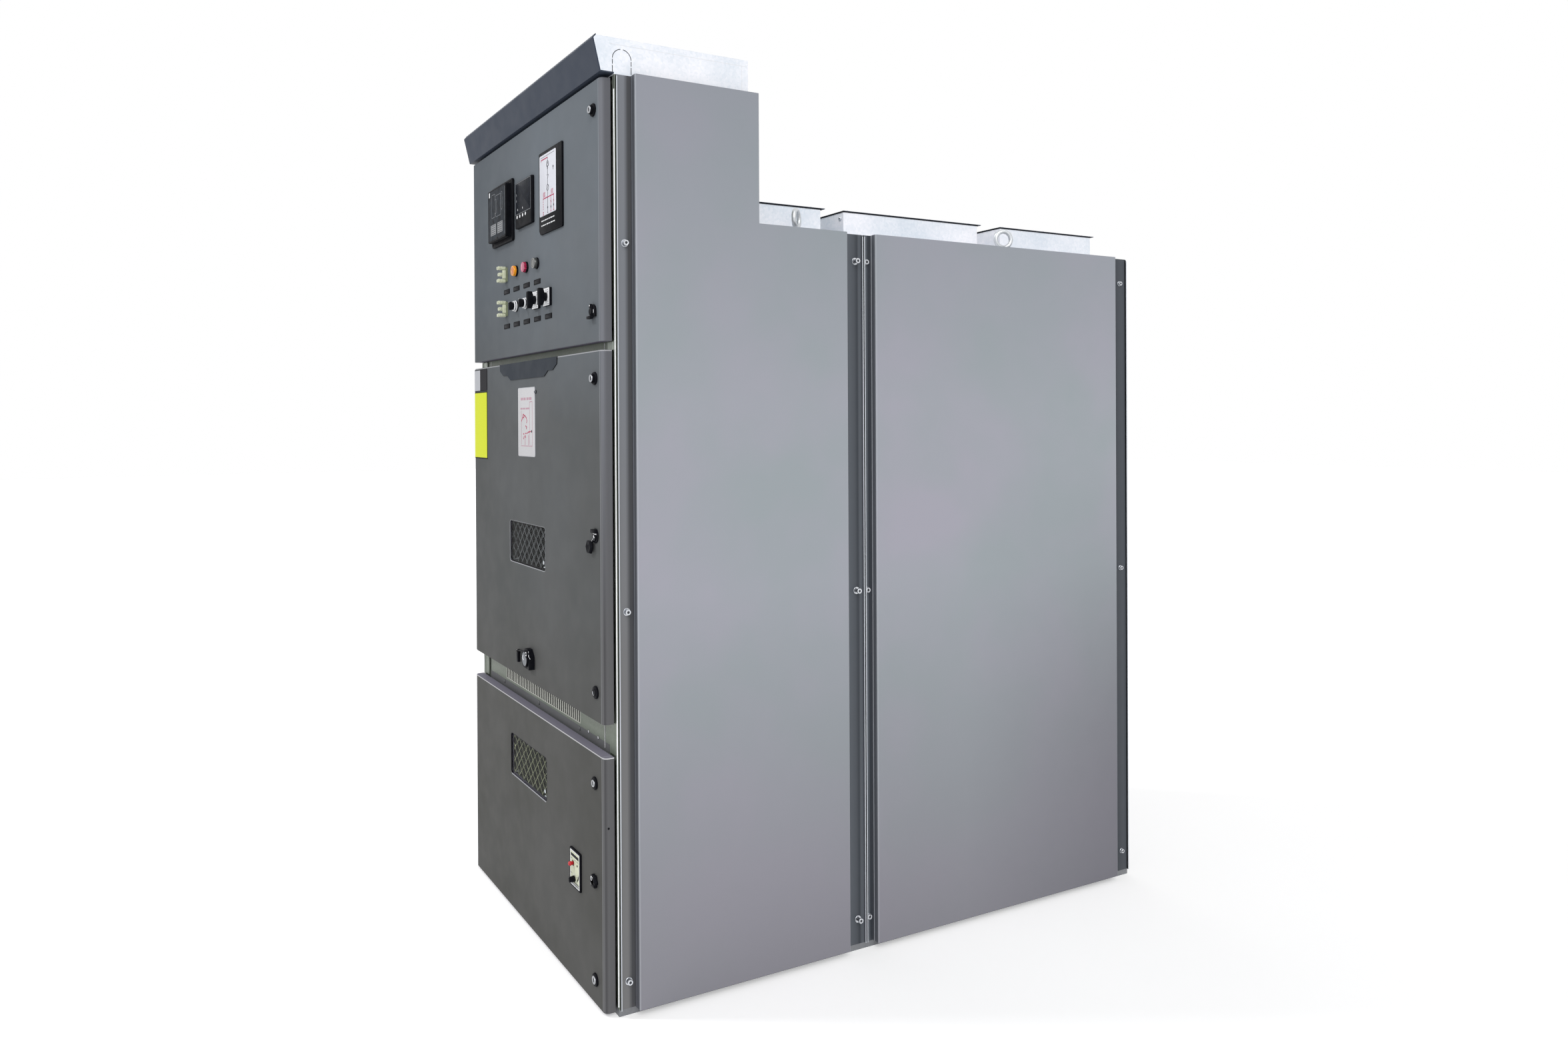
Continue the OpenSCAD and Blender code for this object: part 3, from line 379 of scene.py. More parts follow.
# What each node of the part is finished in
nodeMaterials = [
    (baseSheet, ["base_frame"]),
    (railSheet, ["front_rails"]),
    (aluzinc, ["side_walls", "instrument_compartment", "breaker_floor", "shutter_wall",
               "busbar_partition", "hinge_brackets"]),
    (postSheet, ["front_posts"]),
    (galvanised, ["instrument_mounting_plate", "instrument_roof_box", "roof_plates", "relief_ducts"]),
    (castZinc, ["lifting_eyes"]),
    (panelPaint, ["side_panel_front_right", "side_panel_front_left", "side_panel_rear_right",
                  "side_panel_rear_left"]),
    (coverPaint, ["rear_covers"]),
    (slatePaint, ["canopy", "relief_lids"]),
    (emblemPaint, ["emblem_plate"]),
    (doorPaint, ["instrument_door", "breaker_door", "cable_door"]),
    (clearPane, ["breaker_window", "cable_window"]),
    (blackPlastic, ["protection_relay", "multimeter", "mimic_panel", "switch_bases", "instrument_lock",
                    "selector_handle_left", "selector_handle_right", "cam_handle_left",
                    "cam_handle_right", "racking_housing", "racking_cover", "breaker_lock",
                    "indicator_knob", "cable_lock"]),
    (smokeLens, ["indicator_lamps"]),
    (creamPlastic, ["link_terminals", "voltage_indicator"]),
    (redPlastic, ["indicator_button"])]
for material, names in nodeMaterials:
    for name in names:
        nodes[name].data.materials.clear()
        nodes[name].data.materials.append(material)

# Folded and sheared sheet has a small radius that catches the light
edgeRadius = {"instrument_door": 1.0, "breaker_door": 1.0, "cable_door": 1.0, "canopy": 0.8,
              "instrument_roof_box": 0.8, "relief_ducts": 0.6, "relief_lids": 0.5, "emblem_plate": 0.5}
for name, radius in edgeRadius.items():
    bevel = nodes[name].modifiers.new("sheet_edge", "BEVEL")
    bevel.width = radius * mm
    bevel.segments = 2
    bevel.limit_method = "ANGLE"
    bevel.angle_limit = math.radians(40)
    bevel.harden_normals = True
print("materials made")


# Shapes, in millimetres: u across, v up and w out of the face that a piece sits on. The slot of a shape
# picks one of its piece's materials

sides = {
    "front": Matrix(((1, 0, 0), (0, 0, -1), (0, 1, 0))),
    "back": Matrix(((-1, 0, 0), (0, 0, 1), (0, 1, 0))),
    "right": Matrix(((0, 0, 1), (1, 0, 0), (0, 1, 0))),
    "left": Matrix(((0, 0, -1), (-1, 0, 0), (0, 1, 0))),
    "top": Matrix.Identity(3),
}
bothSides = (("right", 1), ("left", -1))


def facing(side, x, y, z, turn=0):
    return (Matrix.Translation(Vector((x, y, z)) * mm) @ sides[side].to_4x4()
            @ Matrix.Rotation(math.radians(turn), 4, "Z"))


def begin(side, x, y, z, turn=0):
    # An empty mesh, and the place that its shapes are drawn from
    return bmesh.new(), facing(side, x, y, z, turn)


def arc(radius, angles, u=0, v=0, *w):
    # Points on a circle, at angles in degrees
    return [(u + radius * math.cos(math.radians(a)), v + radius * math.sin(math.radians(a)), *w)
            for a in angles]


# Outlines: each is a function that gives the points of the outline moved in by an inset

def disc(radius, count=32):
    return lambda inset: [((radius - inset) * math.cos(math.tau * i / count),
                           (radius - inset) * math.sin(math.tau * i / count)) for i in range(count)]


def fluted(radius, teeth, depth, perTooth=4):
    # A round outline with teeth grips round it
    count = teeth * perTooth

    def ring(inset):
        spots = []
        for a in (math.tau * i / count for i in range(count)):
            r = radius - inset - depth * (0.5 - 0.5 * math.cos(teeth * a))
            spots.append((r * math.cos(a), r * math.sin(a)))
        return spots
    return ring


def slab(width, height, corner, perCorner=4):
    # A rectangle with round corners
    def ring(inset):
        w, h, r = width / 2 - inset, height / 2 - inset, max(corner - inset, 0.1)
        spots = []
        for k, (u, v) in enumerate(((w - r, h - r), (r - w, h - r), (r - w, r - h), (w - r, r - h))):
            for a in (math.pi / 2 * (k + i / perCorner) for i in range(perCorner + 1)):
                spots.append((u + r * math.cos(a), v + r * math.sin(a)))
        return spots
    return ring


def hexagon(across, count=24):
    # A hexagon with points along its sides, to join a round ring of the same count
    def ring(inset):
        r = (across / 2 - inset) / math.cos(math.pi / 6)
        spots = []
        for i in range(count):
            part, k = i / count * 6 % 1, int(i / count * 6)
            a, b = math.tau * k / 6, math.tau * (k + 1) / 6
            spots.append((r * ((1 - part) * math.cos(a) + part * math.cos(b)),
                          r * ((1 - part) * math.sin(a) + part * math.sin(b))))
        return spots
    return ring


def shape(points):
    # Any outline drawn anticlockwise, moved in along its corners' bisectors
    def ring(inset):
        moved = []
        for i, point in enumerate(points):
            here = Vector(point)
            before = (here - Vector(points[i - 1])).normalized()
            after = (Vector(points[(i + 1) % len(points)]) - here).normalized()
            inward = Vector((-before.y - after.y, before.x + after.x)).normalized()
            moved.append(tuple(here + inward * inset / inward.dot(Vector((-before.y, before.x)))))
        return moved
    return ring


def skin(bm, rings, at, slot, loop=False):
    # Walls from each ring of points to the next, and caps on the ends or a closed loop
    rings = [[bm.verts.new(at @ Vector((u * mm, v * mm, w * mm))) for u, v, w in ring] for ring in rings]
    for lower, upper in list(zip(rings, rings[1:])) + ([(rings[-1], rings[0])] if loop else []):
        for i in range(len(lower)):
            j = (i + 1) % len(lower)
            bm.faces.new((lower[i], lower[j], upper[j], upper[i])).material_index = slot
    for ring in [] if loop else (rings[0], rings[-1]):
        bm.faces.new(ring).material_index = slot


def loft(bm, ring, steps, at, slot=0, centre=(0, 0), loop=False):
    # One ring for each step (inset, height, other outline)
    rings = []
    for inset, height, *other in steps:
        points = (other[0] if other else ring)(inset)
        rings.append([(u + centre[0], v + centre[1], height) for u, v in points])
    skin(bm, rings, at, slot, loop)


def block(bm, width, height, low, high, at, slot=0, centre=(0, 0), corner=1.0, edge=0.6):
    # A rounded box with softened rims, standing from low to high
    loft(bm, slab(width, height, corner), [(0, low), (0, high - edge), (edge * 0.3, high - edge * 0.3),
                                           (edge, high)], at, slot, centre)


def outline(bm, ring, line, low, high, at, slot=0, centre=(0, 0)):
    # A thin raised line round a shape
    loft(bm, ring, [(0, low), (0, high), (line, high), (line, low)], at, slot, centre, loop=True)


def extrusion(bm, section, low, high, slot=0, at=Matrix.Identity(4)):
    # A profile drawn anticlockwise, standing from low to high
    skin(bm, [[(x, y, z) for x, y in section] for z in (low, high)], at, slot)


def strip(bm, start, end, width, low, high, at, slot=0):
    # A straight flat bar from start to end
    a, b = Vector(start), Vector(end)
    forward = (b - a).normalized()
    across = Vector((-forward.y, forward.x)) * width / 2
    extrusion(bm, (a - across, b - across, b + across, a + across), low, high, slot, at)


def strips(bm, lines, width, low, high, at, slot=0):
    for start, end in lines:
        strip(bm, start, end, width, low, high, at, slot)


def dashes(bm, row, length, width, low, high, at, slot=0):
    # Level bars of one length round the points of a row
    strips(bm, [((u - length / 2, v), (u + length / 2, v)) for u, v in row], width, low, high, at, slot)


def tube(bm, points, radius, at, slot=0, count=12, loop=False):
    # A round bar through points in u, v, w
    path = [Vector(p) for p in points]
    rings = []
    side = None
    for i, here in enumerate(path):
        before = path[i - 1] if i or loop else here
        after = path[(i + 1) % len(path)] if i < len(path) - 1 or loop else here
        forward = (after - before).normalized()
        if side is None:
            side = forward.orthogonal().normalized()
        side = (side - forward * side.dot(forward)).normalized()
        other = forward.cross(side)
        turns = [math.tau * k / count for k in range(count)]
        rings.append([here + (side * math.cos(a) + other * math.sin(a)) * radius for a in turns])
    skin(bm, rings, at, slot, loop)


def addPiece(name, bm, materials, body, slot, *replaced):
    bmesh.ops.recalc_face_normals(bm, faces=bm.faces)
    mesh = bpy.data.meshes.new(name)
    bm.to_mesh(mesh)
    bm.free()
    mesh.shade_smooth()
    mesh.set_sharp_from_angle(angle=math.radians(32))
    for material in materials:
        mesh.materials.append(material)
    piece = bpy.data.objects.new(name, mesh)
    bpy.context.scene.collection.objects.link(piece)
    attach(piece, body)
    if replaced:
        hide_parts(*replaced)


def middle(node):
    low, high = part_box(node)
    return (low + high) / 2 / mm


def size(node):
    low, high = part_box(node)
    return (high - low) / mm


def pivot(joint):
    return Vector(next(j for j in frame["joints"] if j["name"] == joint)["pos_m"]) / mm


# Places that many pieces share, read from the frame
doorFace = pivot("middle_door_lock_turn").y
doorLeft = pivot("middle_door_swing").x + 6       # the hinge axis is 6 mm outside the door's edge
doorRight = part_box("breaker_door")[1].x / mm
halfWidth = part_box("base_frame")[1].x / mm
switchZ = pivot("selector_left_turn").z
lampZ = middle("indicator_lamps").z
columnStep = pivot("selector_right_turn").x - pivot("selector_left_turn").x
columns = [pivot("selector_left_turn").x + columnStep * i for i in (-1, 0, 1, 2, 3)]


# Camera, lamps and floor

viewpoint = {"place": (2.7866, -1.8531, 1.3515), "heading": 61.901, "tilt": -0.241, "roll": -0.312,
             "lens": 25.26, "shiftX": 0.0581, "shiftY": -0.0603}

cameraData = bpy.data.cameras.new("standing_view")
cameraData.lens = viewpoint["lens"]
cameraData.sensor_width = 36
cameraData.shift_x = viewpoint["shiftX"]
cameraData.shift_y = viewpoint["shiftY"]
camera = bpy.data.objects.new("standing_view", cameraData)
camera.matrix_world = (Matrix.Translation(viewpoint["place"])
                       @ Matrix.Rotation(math.radians(viewpoint["heading"]), 4, "Z")
                       @ Matrix.Rotation(math.radians(90 + viewpoint["tilt"]), 4, "X")
                       @ Matrix.Rotation(math.radians(viewpoint["roll"]), 4, "Z"))
bpy.context.scene.collection.objects.link(camera)
bpy.context.scene.camera = camera
bpy.context.scene.view_settings.view_transform = "Standard"

# each lamp: strength, angle in degrees, and the direction that it shines from
studio = {"roomLight": 0.47, "floorSize": 60, "floorTone": "#F1F1F1", "floorDrift": "#EFEFEF",
          "floorLift": 0.28, "lamps": {"key": (1.85, 50, (0.78, -0.26, 0.57)),
                                       "front": (1.1, 9, (-0.4, -0.62, 0.67)),
                                       "fill": (0.25, 90, (-0.6, 0.55, 0.5))}}

world = bpy.data.worlds.new("pale_room")
bpy.context.scene.world = world
world.use_nodes = True
roomTree = world.node_tree
roomTree.nodes.clear()


def seenDirectly(tree):
    # 1 for rays from the camera, in mirrors and through glass, and 0 for the light on the object
    rays = addNode(tree, "LightPath", {}).outputs
    first = addNode(tree, "Math", {"operation": "MAXIMUM", 0: rays["Is Camera Ray"],
                                   1: rays["Is Glossy Ray"]})
    return addNode(tree, "Math", {"operation": "MAXIMUM", 0: first, 1: rays["Is Transmission Ray"]})


level = addNode(roomTree, "MapRange", {"To Min": studio["roomLight"], "To Max": 1.0,
                                       "Value": seenDirectly(roomTree)})
room = addNode(roomTree, "Background", {"Color": (1, 1, 1, 1), "Strength": level})
addNode(roomTree, "OutputWorld", {"Surface": room})

for name, (strength, angle, source) in studio["lamps"].items():
    lamp = bpy.data.lights.new(name + "_lamp", "SUN")
    lamp.energy = strength
    lamp.angle = math.radians(angle)
    lampObject = bpy.data.objects.new(name + "_lamp", lamp)
    lampObject.rotation_euler = Vector(source).to_track_quat("Z", "Y").to_euler()
    bpy.context.scene.collection.objects.link(lampObject)

# Matt floor paint, rolled: even and pale, with a soft mottle and no gloss
floorMaterial, floorTree, floorShader = newMaterial("matt_painted_screed", roughness=0.9, specular=0.0)
plug(floorTree, floorShader, colour=twoTone(floorTree, mottle(floorTree, 900), studio["floorTone"],
                                            studio["floorDrift"]))
glow = addNode(floorTree, "Math", {"operation": "MULTIPLY", 0: seenDirectly(floorTree),
                                   1: studio["floorLift"]})
floorShader.inputs["Emission Color"].default_value = (1, 1, 1, 1)
join(floorTree, glow, floorShader.inputs["Emission Strength"])

floorMesh = bpy.data.meshes.new("floor")
half = studio["floorSize"] / 2
floorMesh.from_pydata([(-half, -half, 0), (half, -half, 0), (half, half, 0), (-half, half, 0)], [],
                      [(0, 1, 2, 3)])
floorMesh.materials.append(floorMaterial)
floor = bpy.data.objects.new("floor", floorMesh)
bpy.context.scene.collection.objects.link(floor)
print("camera, lamps and floor placed")


# Door screws: black rosette with a bright slotted core

# each place: x, z, the core's radius, its height and the door
doorScrew = {"rosette": 15, "rim": 5, "slotWidth": 5, "slotLength": 9.5, "slotDepth": 3.5, "darkOne": 2,
             "places": [(450, 2072, 9, 12.6, "upper_door"), (450, 1456, 9, 12, "middle_door"),
                        (447, 733, 9, 6.5, "middle_door"), (438, 521, 8.5, 7, "lower_door"),
                        (436, 65, 9.5, 6.8, "lower_door")]}

for i, (x, z, core, top, body) in enumerate(doorScrew["places"]):
    bm, at = begin("front", x, doorFace, z, 96)
    rim, depth = doorScrew["rim"], doorScrew["slotDepth"]
    slot = slab(doorScrew["slotLength"], doorScrew["slotWidth"], doorScrew["slotWidth"] / 2 - 0.1, 7)
    dark = i == doorScrew["darkOne"]
    loft(bm, disc(doorScrew["rosette"]), [(0, 0), (0, rim * 0.55), (1.2, rim * 0.9), (2.6, rim),
                                          (4.6, rim), (5.4, rim * 0.6)], at)
    loft(bm, disc(core + 1.6), [(0, 1), (0.3, max(top - 2.2, rim)), (1.6, max(top - 1.6, rim + 0.3))], at)
    loft(bm, disc(core), [(0, 1), (0, top - 1), (0.4, top - 0.3), (1.2, top), (2.6, top),
                          (0, top - 0.6, slot), (0, top - depth, slot)], at, 0 if dark else 1)
    loft(bm, slot, [(0.05, top - depth + 0.3), (0.05, top - 0.9), (0.4, top - 0.7)], at)
    if dark:
        # painted highlight: a bright nickel arc on the dark core stands for a crescent glint
        tube(bm, arc(6.2, range(60, 200, 14), 0, 0, top - 0.1), 0.9, at, 1, 8)
    # threaded shank and nut behind the sheet
    loft(bm, disc(4, 24), [(0, -1.8), (0, -16), (0.6, -16.6)], at, 1)
    loft(bm, hexagon(13), [(0, -2.2), (0, -8), (0.6, -8.5)], at, 1)
    addPiece(f"door_screw_{i + 1}", bm, [blackPlastic, nickel], body, "black_plastic")
print("door screws made")


# Signal lamps with their contact blocks behind the door

# each dome goes by steps of inset and height from the lens's top
lampSizes = {"bezel": 15, "bezelHeight": 5, "lens": 14, "lensTop": 13, "blockWidth": 28, "blockDepth": 40,
             "lenses": [("amber", amberLens, amberDeep), ("crimson", crimsonLens, pinkLens),
                        ("smoke", smokeLens, smokeRim)],
             "domes": {"amber": [(0, -2.2), (0.4, -0.9), (1.2, -0.1), (2.2, 0), (3.2, -0.6)],
                       "crimson": [(0, -2.4), (0.6, -1.2), (1.6, -0.7), (3.2, -0.9), (5, -0.4)],
                       "smoke": [(0, -2.6), (0.6, -1.4), (1.6, -0.8), (3, -1), (5, -0.7)]}}


def contactBlock(bm, width, depth, at):
    # Barrel, nut and contact block behind the sheet, with a pair of terminal screws
    loft(bm, disc(11), [(0, -2.2), (0, -10)], at)
    loft(bm, hexagon(30), [(0, -2.2), (0, -5), (0.6, -5.4)], at)
    loft(bm, slab(width, width, 2), [(0, -5.6), (0, -depth * 0.55), (1.2, -depth * 0.55), (1.2, -depth + 1),
                                     (2, -depth)], at)
    for u in (-width * 0.25, width * 0.25):
        loft(bm, disc(3, 12), [(0, -depth + 0.5), (0, -depth - 1.2), (0.5, -depth - 1.6)], at, 1, (u, 0))


for i, (name, lens, inner) in enumerate(lampSizes["lenses"]):
    bm, at = begin("front", columns[1 + i], doorFace, lampZ)
    high, top, radius = lampSizes["bezelHeight"], lampSizes["lensTop"], lampSizes["lens"]
    contactBlock(bm, lampSizes["blockWidth"], lampSizes["blockDepth"], at)
    loft(bm, disc(lampSizes["bezel"], 48), [(0, 0), (0, high - 1.4), (0.3, high - 0.5), (1.1, high),
                                            (2.4, high)], at)
    dome = fluted(radius, 12, 1.6) if name == "crimson" else disc(radius, 48)
    loft(bm, dome, [(0, high - 0.5)] + [(inset, top + w) for inset, w in lampSizes["domes"][name]], at, 2)
    if name == "crimson":
        outline(bm, fluted(radius - 1.2, 12, 1.2), 1.1, top - 1.3, top - 0.5, at, 3)
        block(bm, 5, 19, top - 1, top, at, 3, (-1.5, 0), 1.2, 0.5)
    elif name == "amber":
        loft(bm, slab(17, 20, 6), [(0, top - 1.2), (0, top - 0.4), (1, top)], at, 3)
    else:
        outline(bm, disc(radius - 0.8, 48), 1.6, top - 1.4, top - 0.3, at, 3)
    addPiece("signal_lamp_" + name, bm, [blackPlastic, screwZinc, lens, inner], "upper_door",
             "lens_plastic", "indicator_lamps")
print("signal lamps made")


# Selector switches: black base, two bright rings and a wedge handle

selector = {"base": 15, "ring": 13.5, "skirt": 10.5, "skirtTop": 16, "handleWidth": 9, "handleLength": 22,
            "handleTop": 23, "blockWidth": 28, "blockDepth": 45}

for i, sideName in enumerate(("left", "right")):
    bm, at = begin("front", columns[1 + i], doorFace, switchZ)
    base, ring = disc(selector["base"], 48), disc(selector["ring"], 48)
    contactBlock(bm, selector["blockWidth"], selector["blockDepth"], at)
    loft(bm, base, [(0, 0), (0, 3), (1, 3.4)], at)
    loft(bm, base, [(0.4, 3.2), (0, 3.7), (0, 5.4), (0.6, 6), (4, 6)], at, 2)
    loft(bm, ring, [(0.6, 5.9), (0.6, 7.6)], at)
    loft(bm, ring, [(0.5, 7.4), (0, 7.9), (0, 10.3), (0.6, 11), (2.4, 11), (3, 10)], at, 2)
    addPiece("selector_base_" + sideName, bm, [blackPlastic, screwZinc, whitePlastic], "upper_door",
             "black_plastic", "switch_bases")

    bm = bmesh.new()
    skirtTop, top = selector["skirtTop"], selector["handleTop"]
    wide, long = selector["handleWidth"], selector["handleLength"]
    loft(bm, fluted(selector["skirt"], 24, 0.5), [(0, 11.3), (0, skirtTop - 1), (0.8, skirtTop)], at)
    loft(bm, slab(wide, long, 2), [(-0.8, skirtTop - 1, slab(wide + 1.5, long - 3, 4)), (0, skirtTop + 2),
                                   (0.4, top - 1.6), (0.9, top - 0.5), (1.6, top)], at)
    block(bm, 2.6, long - 3, top - 0.6, top, at, 1, (-2, 0), 0.6, 0.2)
    block(bm, 3.6, 6, top - 5, top - 0.2, at, 1, (0, long / 2 - 3.2), 0.6, 0.2)
    loft(bm, disc(4, 24), [(0, 12), (0, -8)], at)
    addPiece("selector_knob_" + sideName, bm, [blackPlastic, whitePlastic], "selector_" + sideName,
             "black_plastic", "selector_handle_" + sideName)


# Cam switches: square base with a white scale plate and a tall grip

camSwitch = {"plate": 46, "bodyTop": 6.2, "plateTop": 7, "hub": 11, "gripWidth": 14, "gripLength": 44,
             "gripTop": 29, "blockWidth": 42, "blockDepth": 70, "decks": (-20, -34, -48),
             "marks": (-45, 0, 45), "print": [(12, 17.5, 7), (12.5, 12, 5), (-17, 17, 6), (15, -18.5, 8),
                                              (14, -13, 5), (-16, -18, 7)]}

for i, sideName in enumerate(("left", "right")):
    bm, at = begin("front", columns[3 + i], doorFace, switchZ)
    plate, bodyTop, plateTop = camSwitch["plate"], camSwitch["bodyTop"], camSwitch["plateTop"]
    wide, low, top = camSwitch["blockWidth"], plateTop - 0.2, plateTop + 0.06
    contactBlock(bm, wide, camSwitch["blockDepth"], at)
    for deck in camSwitch["decks"]:
        loft(bm, slab(wide, wide, 3), [(0.5, deck), (0, deck - 0.8), (0, deck - 2), (0.5, deck - 2.8)], at)
    loft(bm, slab(plate, plate, 2), [(0, 0), (0, bodyTop), (0.4, plateTop - 0.25), (1.2, plateTop - 0.2)], at)
    block(bm, plate - 1.6, plate - 1.6, bodyTop - 0.2, plateTop, at, 2, (0, 0), 1.5, 0.2)
    turns = [90 + turn for turn in camSwitch["marks"]]
    strips(bm, zip(arc(15, turns), arc(19, turns)), 1.4, low, top, at, 3)
    for u, v, length in camSwitch["print"]:
        dashes(bm, [(u, v)], length, 1.8, low, top, at, 3)
    addPiece("cam_switch_base_" + sideName, bm, [blackPlastic, screwZinc, whitePlastic, greyFilm],
             "upper_door", "black_plastic", "switch_bases")

    bm = bmesh.new()
    long, top = camSwitch["gripLength"], camSwitch["gripTop"]
    loft(bm, fluted(camSwitch["hub"], 14, 0.8), [(0, 7.3), (0, 12), (0.6, 12.6), (0.6, 14.4), (1.2, 15)], at)
    loft(bm, slab(camSwitch["gripWidth"], long, 3.5),
         [(0, 14, slab(15, 30, 6)), (0, 17), (0.2, top - 2), (0.8, top - 0.7), (2, top)], at)
    block(bm, 1.8, 12, top - 0.4, top, at, 1, (0, long / 2 - 9), 0.5, 0.15)
    loft(bm, disc(4, 24), [(0, 8), (0, -8)], at)
    addPiece("cam_switch_grip_" + sideName, bm, [blackPlastic, greyPlastic], "cam_switch_" + sideName,
             "black_plastic", "cam_handle_" + sideName)
print("switches made")


# Link holders: cream mouldings with three prongs

link = {"x": -6, "width": 24, "height": 40, "base": 6, "prong": 9, "reach": 25.5, "pitch": 17.5}

for i, z in enumerate((lampZ, switchZ)):
    bm, at = begin("front", columns[0] + link["x"], doorFace, z)
    base, reach, pitch = link["base"], link["reach"], link["pitch"]
    # the base and its ribs are in the shaded cream, painted shade between the prongs
    loft(bm, slab(link["width"], link["height"], 2), [(0, 0), (0, base - 1), (0.8, base)], at, 1)
    for v, end in ((pitch, reach), (0, reach - 3), (-pitch, reach)):
        loft(bm, slab(19, link["prong"], 3), [(0, base - 1), (0, end - 8), (1.1, end - 7.2), (1.1, end - 6),
                                              (0, end - 5.2), (0, end - 1.2), (0.5, end - 0.3), (1.4, end)],
             at, 0, (-0.5, v))
        loft(bm, disc(1.9, 16), [(0, end - 0.4), (0, end), (0.4, end)], at, 2, (4, v))
    loft(bm, slab(8, 25, 3.9), [(0, base - 1), (0, 12), (0.8, 13.4), (2.2, 14)], at, 0, (7.5, 0))
    for v in (-pitch / 2, pitch / 2):
        block(bm, 16, 6.5, base - 0.5, base + 0.4, at, 1, (-3, v), 1, 0.2)
    # moulded tail behind the sheet
    loft(bm, slab(18, 30, 2), [(0, -2.2), (0, -14), (1, -15)], at)
    addPiece(f"link_holder_{i + 1}", bm, [creamPlastic, creamShade, screwZinc], "upper_door",
             "cream_plastic", "link_terminals")


# Blank label plates below the small devices

labelPlate = {"width": 48, "height": 13, "thick": 1.4, "upperZ": 1722, "lowerZ": 1625.5}

for row, (z, used) in enumerate(((labelPlate["upperZ"], columns[:4]), (labelPlate["lowerZ"], columns))):
    for i, x in enumerate(used):
        bm, at = begin("front", x, doorFace, z)
        wide, high, thick = labelPlate["width"], labelPlate["height"], labelPlate["thick"]
        loft(bm, slab(wide, high, 0.8), [(0, 0), (0, thick - 0.4), (0.5, thick)], at)
        block(bm, wide - 9, high - 5, thick - 0.1, thick + 0.1, at, 1, corner=0.5, edge=0.1)
        addPiece(f"label_plate_{row + 1}_{i + 1}", bm, [blackLaminate, darkFilm], "upper_door",
                 "black_plastic")
print("link holders and label plates made")


# Protection relay: flange, projecting cover with a smoked front, case behind the door

relay = {"coverWidth": 154, "coverHeight": 148, "coverTop": 22, "caseDepth": 70, "plates": (-29.7, 28.7),
         "textRows": 5, "frames": [(14, 22, 46, 60), (-30, 26, 32, 66), (-8, 22, 14, 40), (44, 30, 12, 50)],
         "buttons": [(-30, -18), (28, -16)], "vents": range(-5, 6)}

spot, extent = middle("protection_relay"), size("protection_relay")
bm, at = begin("front", spot.x, doorFace, spot.z)
wide, high, top, back = relay["coverWidth"], relay["coverHeight"], relay["coverTop"], -relay["caseDepth"]
loft(bm, slab(extent.x, extent.z, 8), [(0, 0), (0, 4.6), (0.8, 6.4), (2.4, 7), (6, 7), (6.6, 5.8), (9, 5.8),
                                       (9.6, 7), (11.5, 7), (12, 5.4)], at)
loft(bm, slab(wide, high, 5), [(0, 5), (0, top - 8), (0.6, top - 7.6), (0.6, top - 6.6), (0, top - 6.2),
                               (0, top - 2.4), (0.5, top - 0.8), (1.6, top), (4.2, top), (5, top - 0.9)], at)
loft(bm, slab(wide - 8.4, high - 8.4, 3), [(0, top - 1.6), (0, top - 0.6), (0.6, top - 0.2)], at, 1)
loft(bm, slab(wide - 2, high - 2, 2), [(0, 0), (0, back + 1), (1.5, back - 2)], at)
for row in relay["vents"]:
    block(bm, wide - 30, 4, back - 4, back - 1, at, 0, (0, row * 11), 0.6, 0.4)
face = top - 0.2
strip(bm, (wide / 2 - 5.5, -high / 2 + 8), (wide / 2 - 5.5, high / 2 - 8), 1.6, face - 0.2, face + 0.2, at, 5)
for u in relay["plates"]:
    block(bm, 45.8, 30, face - 0.1, face + 0.12, at, 2, (u, -41), 0.6, 0.1)
    rows = [(u - 0.4, -52.5 + row * 5.8) for row in range(relay["textRows"])]
    dashes(bm, rows, 39, 1.1, face, face + 0.2, at, 3)
block(bm, 8, 14, face - 0.1, face + 0.2, at, 4, (-64, 62), 0.6, 0.1)
for u, v, w, h in relay["frames"]:
    outline(bm, slab(w, h, 4), 1.2, face - 0.3, face + 0.1, at, 5, (u, v))
for centre in relay["buttons"]:
    loft(bm, disc(5, 24), [(0, face - 0.2), (0, face + 0.2), (0.6, face + 0.2)], at, 3, centre)
block(bm, 26, 7, top - 2, top - 0.1, at, 0, (0, -high / 2 + 6), 2, 0.6)
addPiece("relay_unit", bm, [blackPlastic, smokedCover, greyFilm, darkFilm, whitePlastic, greyPlastic],
         "upper_door", "black_plastic", "protection_relay")


# Multimeter: square bezel, dark screen and four buttons

meter = {"top": 9, "screenWidth": 116, "screenHeight": 82, "screenUp": 17, "caseWidth": 117, "caseDepth": 70,
         "buttons": (-47.5, -25.5, -3.5, 18.5), "signs": [(5, 2, -42, -13), (5, 2, -4, -13), (6, 4, -52, 28),
                                                         (6, 4, -52, 12)], "plugs": (-36, 0, 36)}

spot, extent = middle("multimeter"), size("multimeter")
bm, at = begin("front", spot.x, doorFace, spot.z)
top, wide, high, up = meter["top"], meter["screenWidth"], meter["screenHeight"], (0, meter["screenUp"])
case, back = meter["caseWidth"], -meter["caseDepth"]
loft(bm, slab(extent.x, extent.z, 3), [(0, 0), (0, top - 2.5), (0.8, top - 0.9), (1.8, top - 0.2),
                                       (3, top - 0.1)], at)
outline(bm, slab(wide + 3, high + 3, 2), 1.3, top - 0.3, top, at, 3, up)
loft(bm, slab(wide, high, 1.5), [(0, top - 0.5), (0, top - 0.15), (0.3, top - 0.05)], at, 1, up)
for u in meter["buttons"]:
    loft(bm, disc(4.5, 24), [(0, top - 0.4), (0, top - 0.1), (0.7, top)], at, 2, (u, -32))
# the two grey marks near the left edge are painted highlights
for tall, tone, u, v in meter["signs"]:
    block(bm, 3, tall, top - 0.2, top, at, tone, (u, v), 0.8, 0.1)
loft(bm, slab(case, case, 3), [(0, 0), (0, back), (1.5, back - 2)], at)
for u in meter["plugs"]:
    block(bm, 28, 12, back - 1.5, back + 6, at, 0, (u, 20), 1, 0.6)
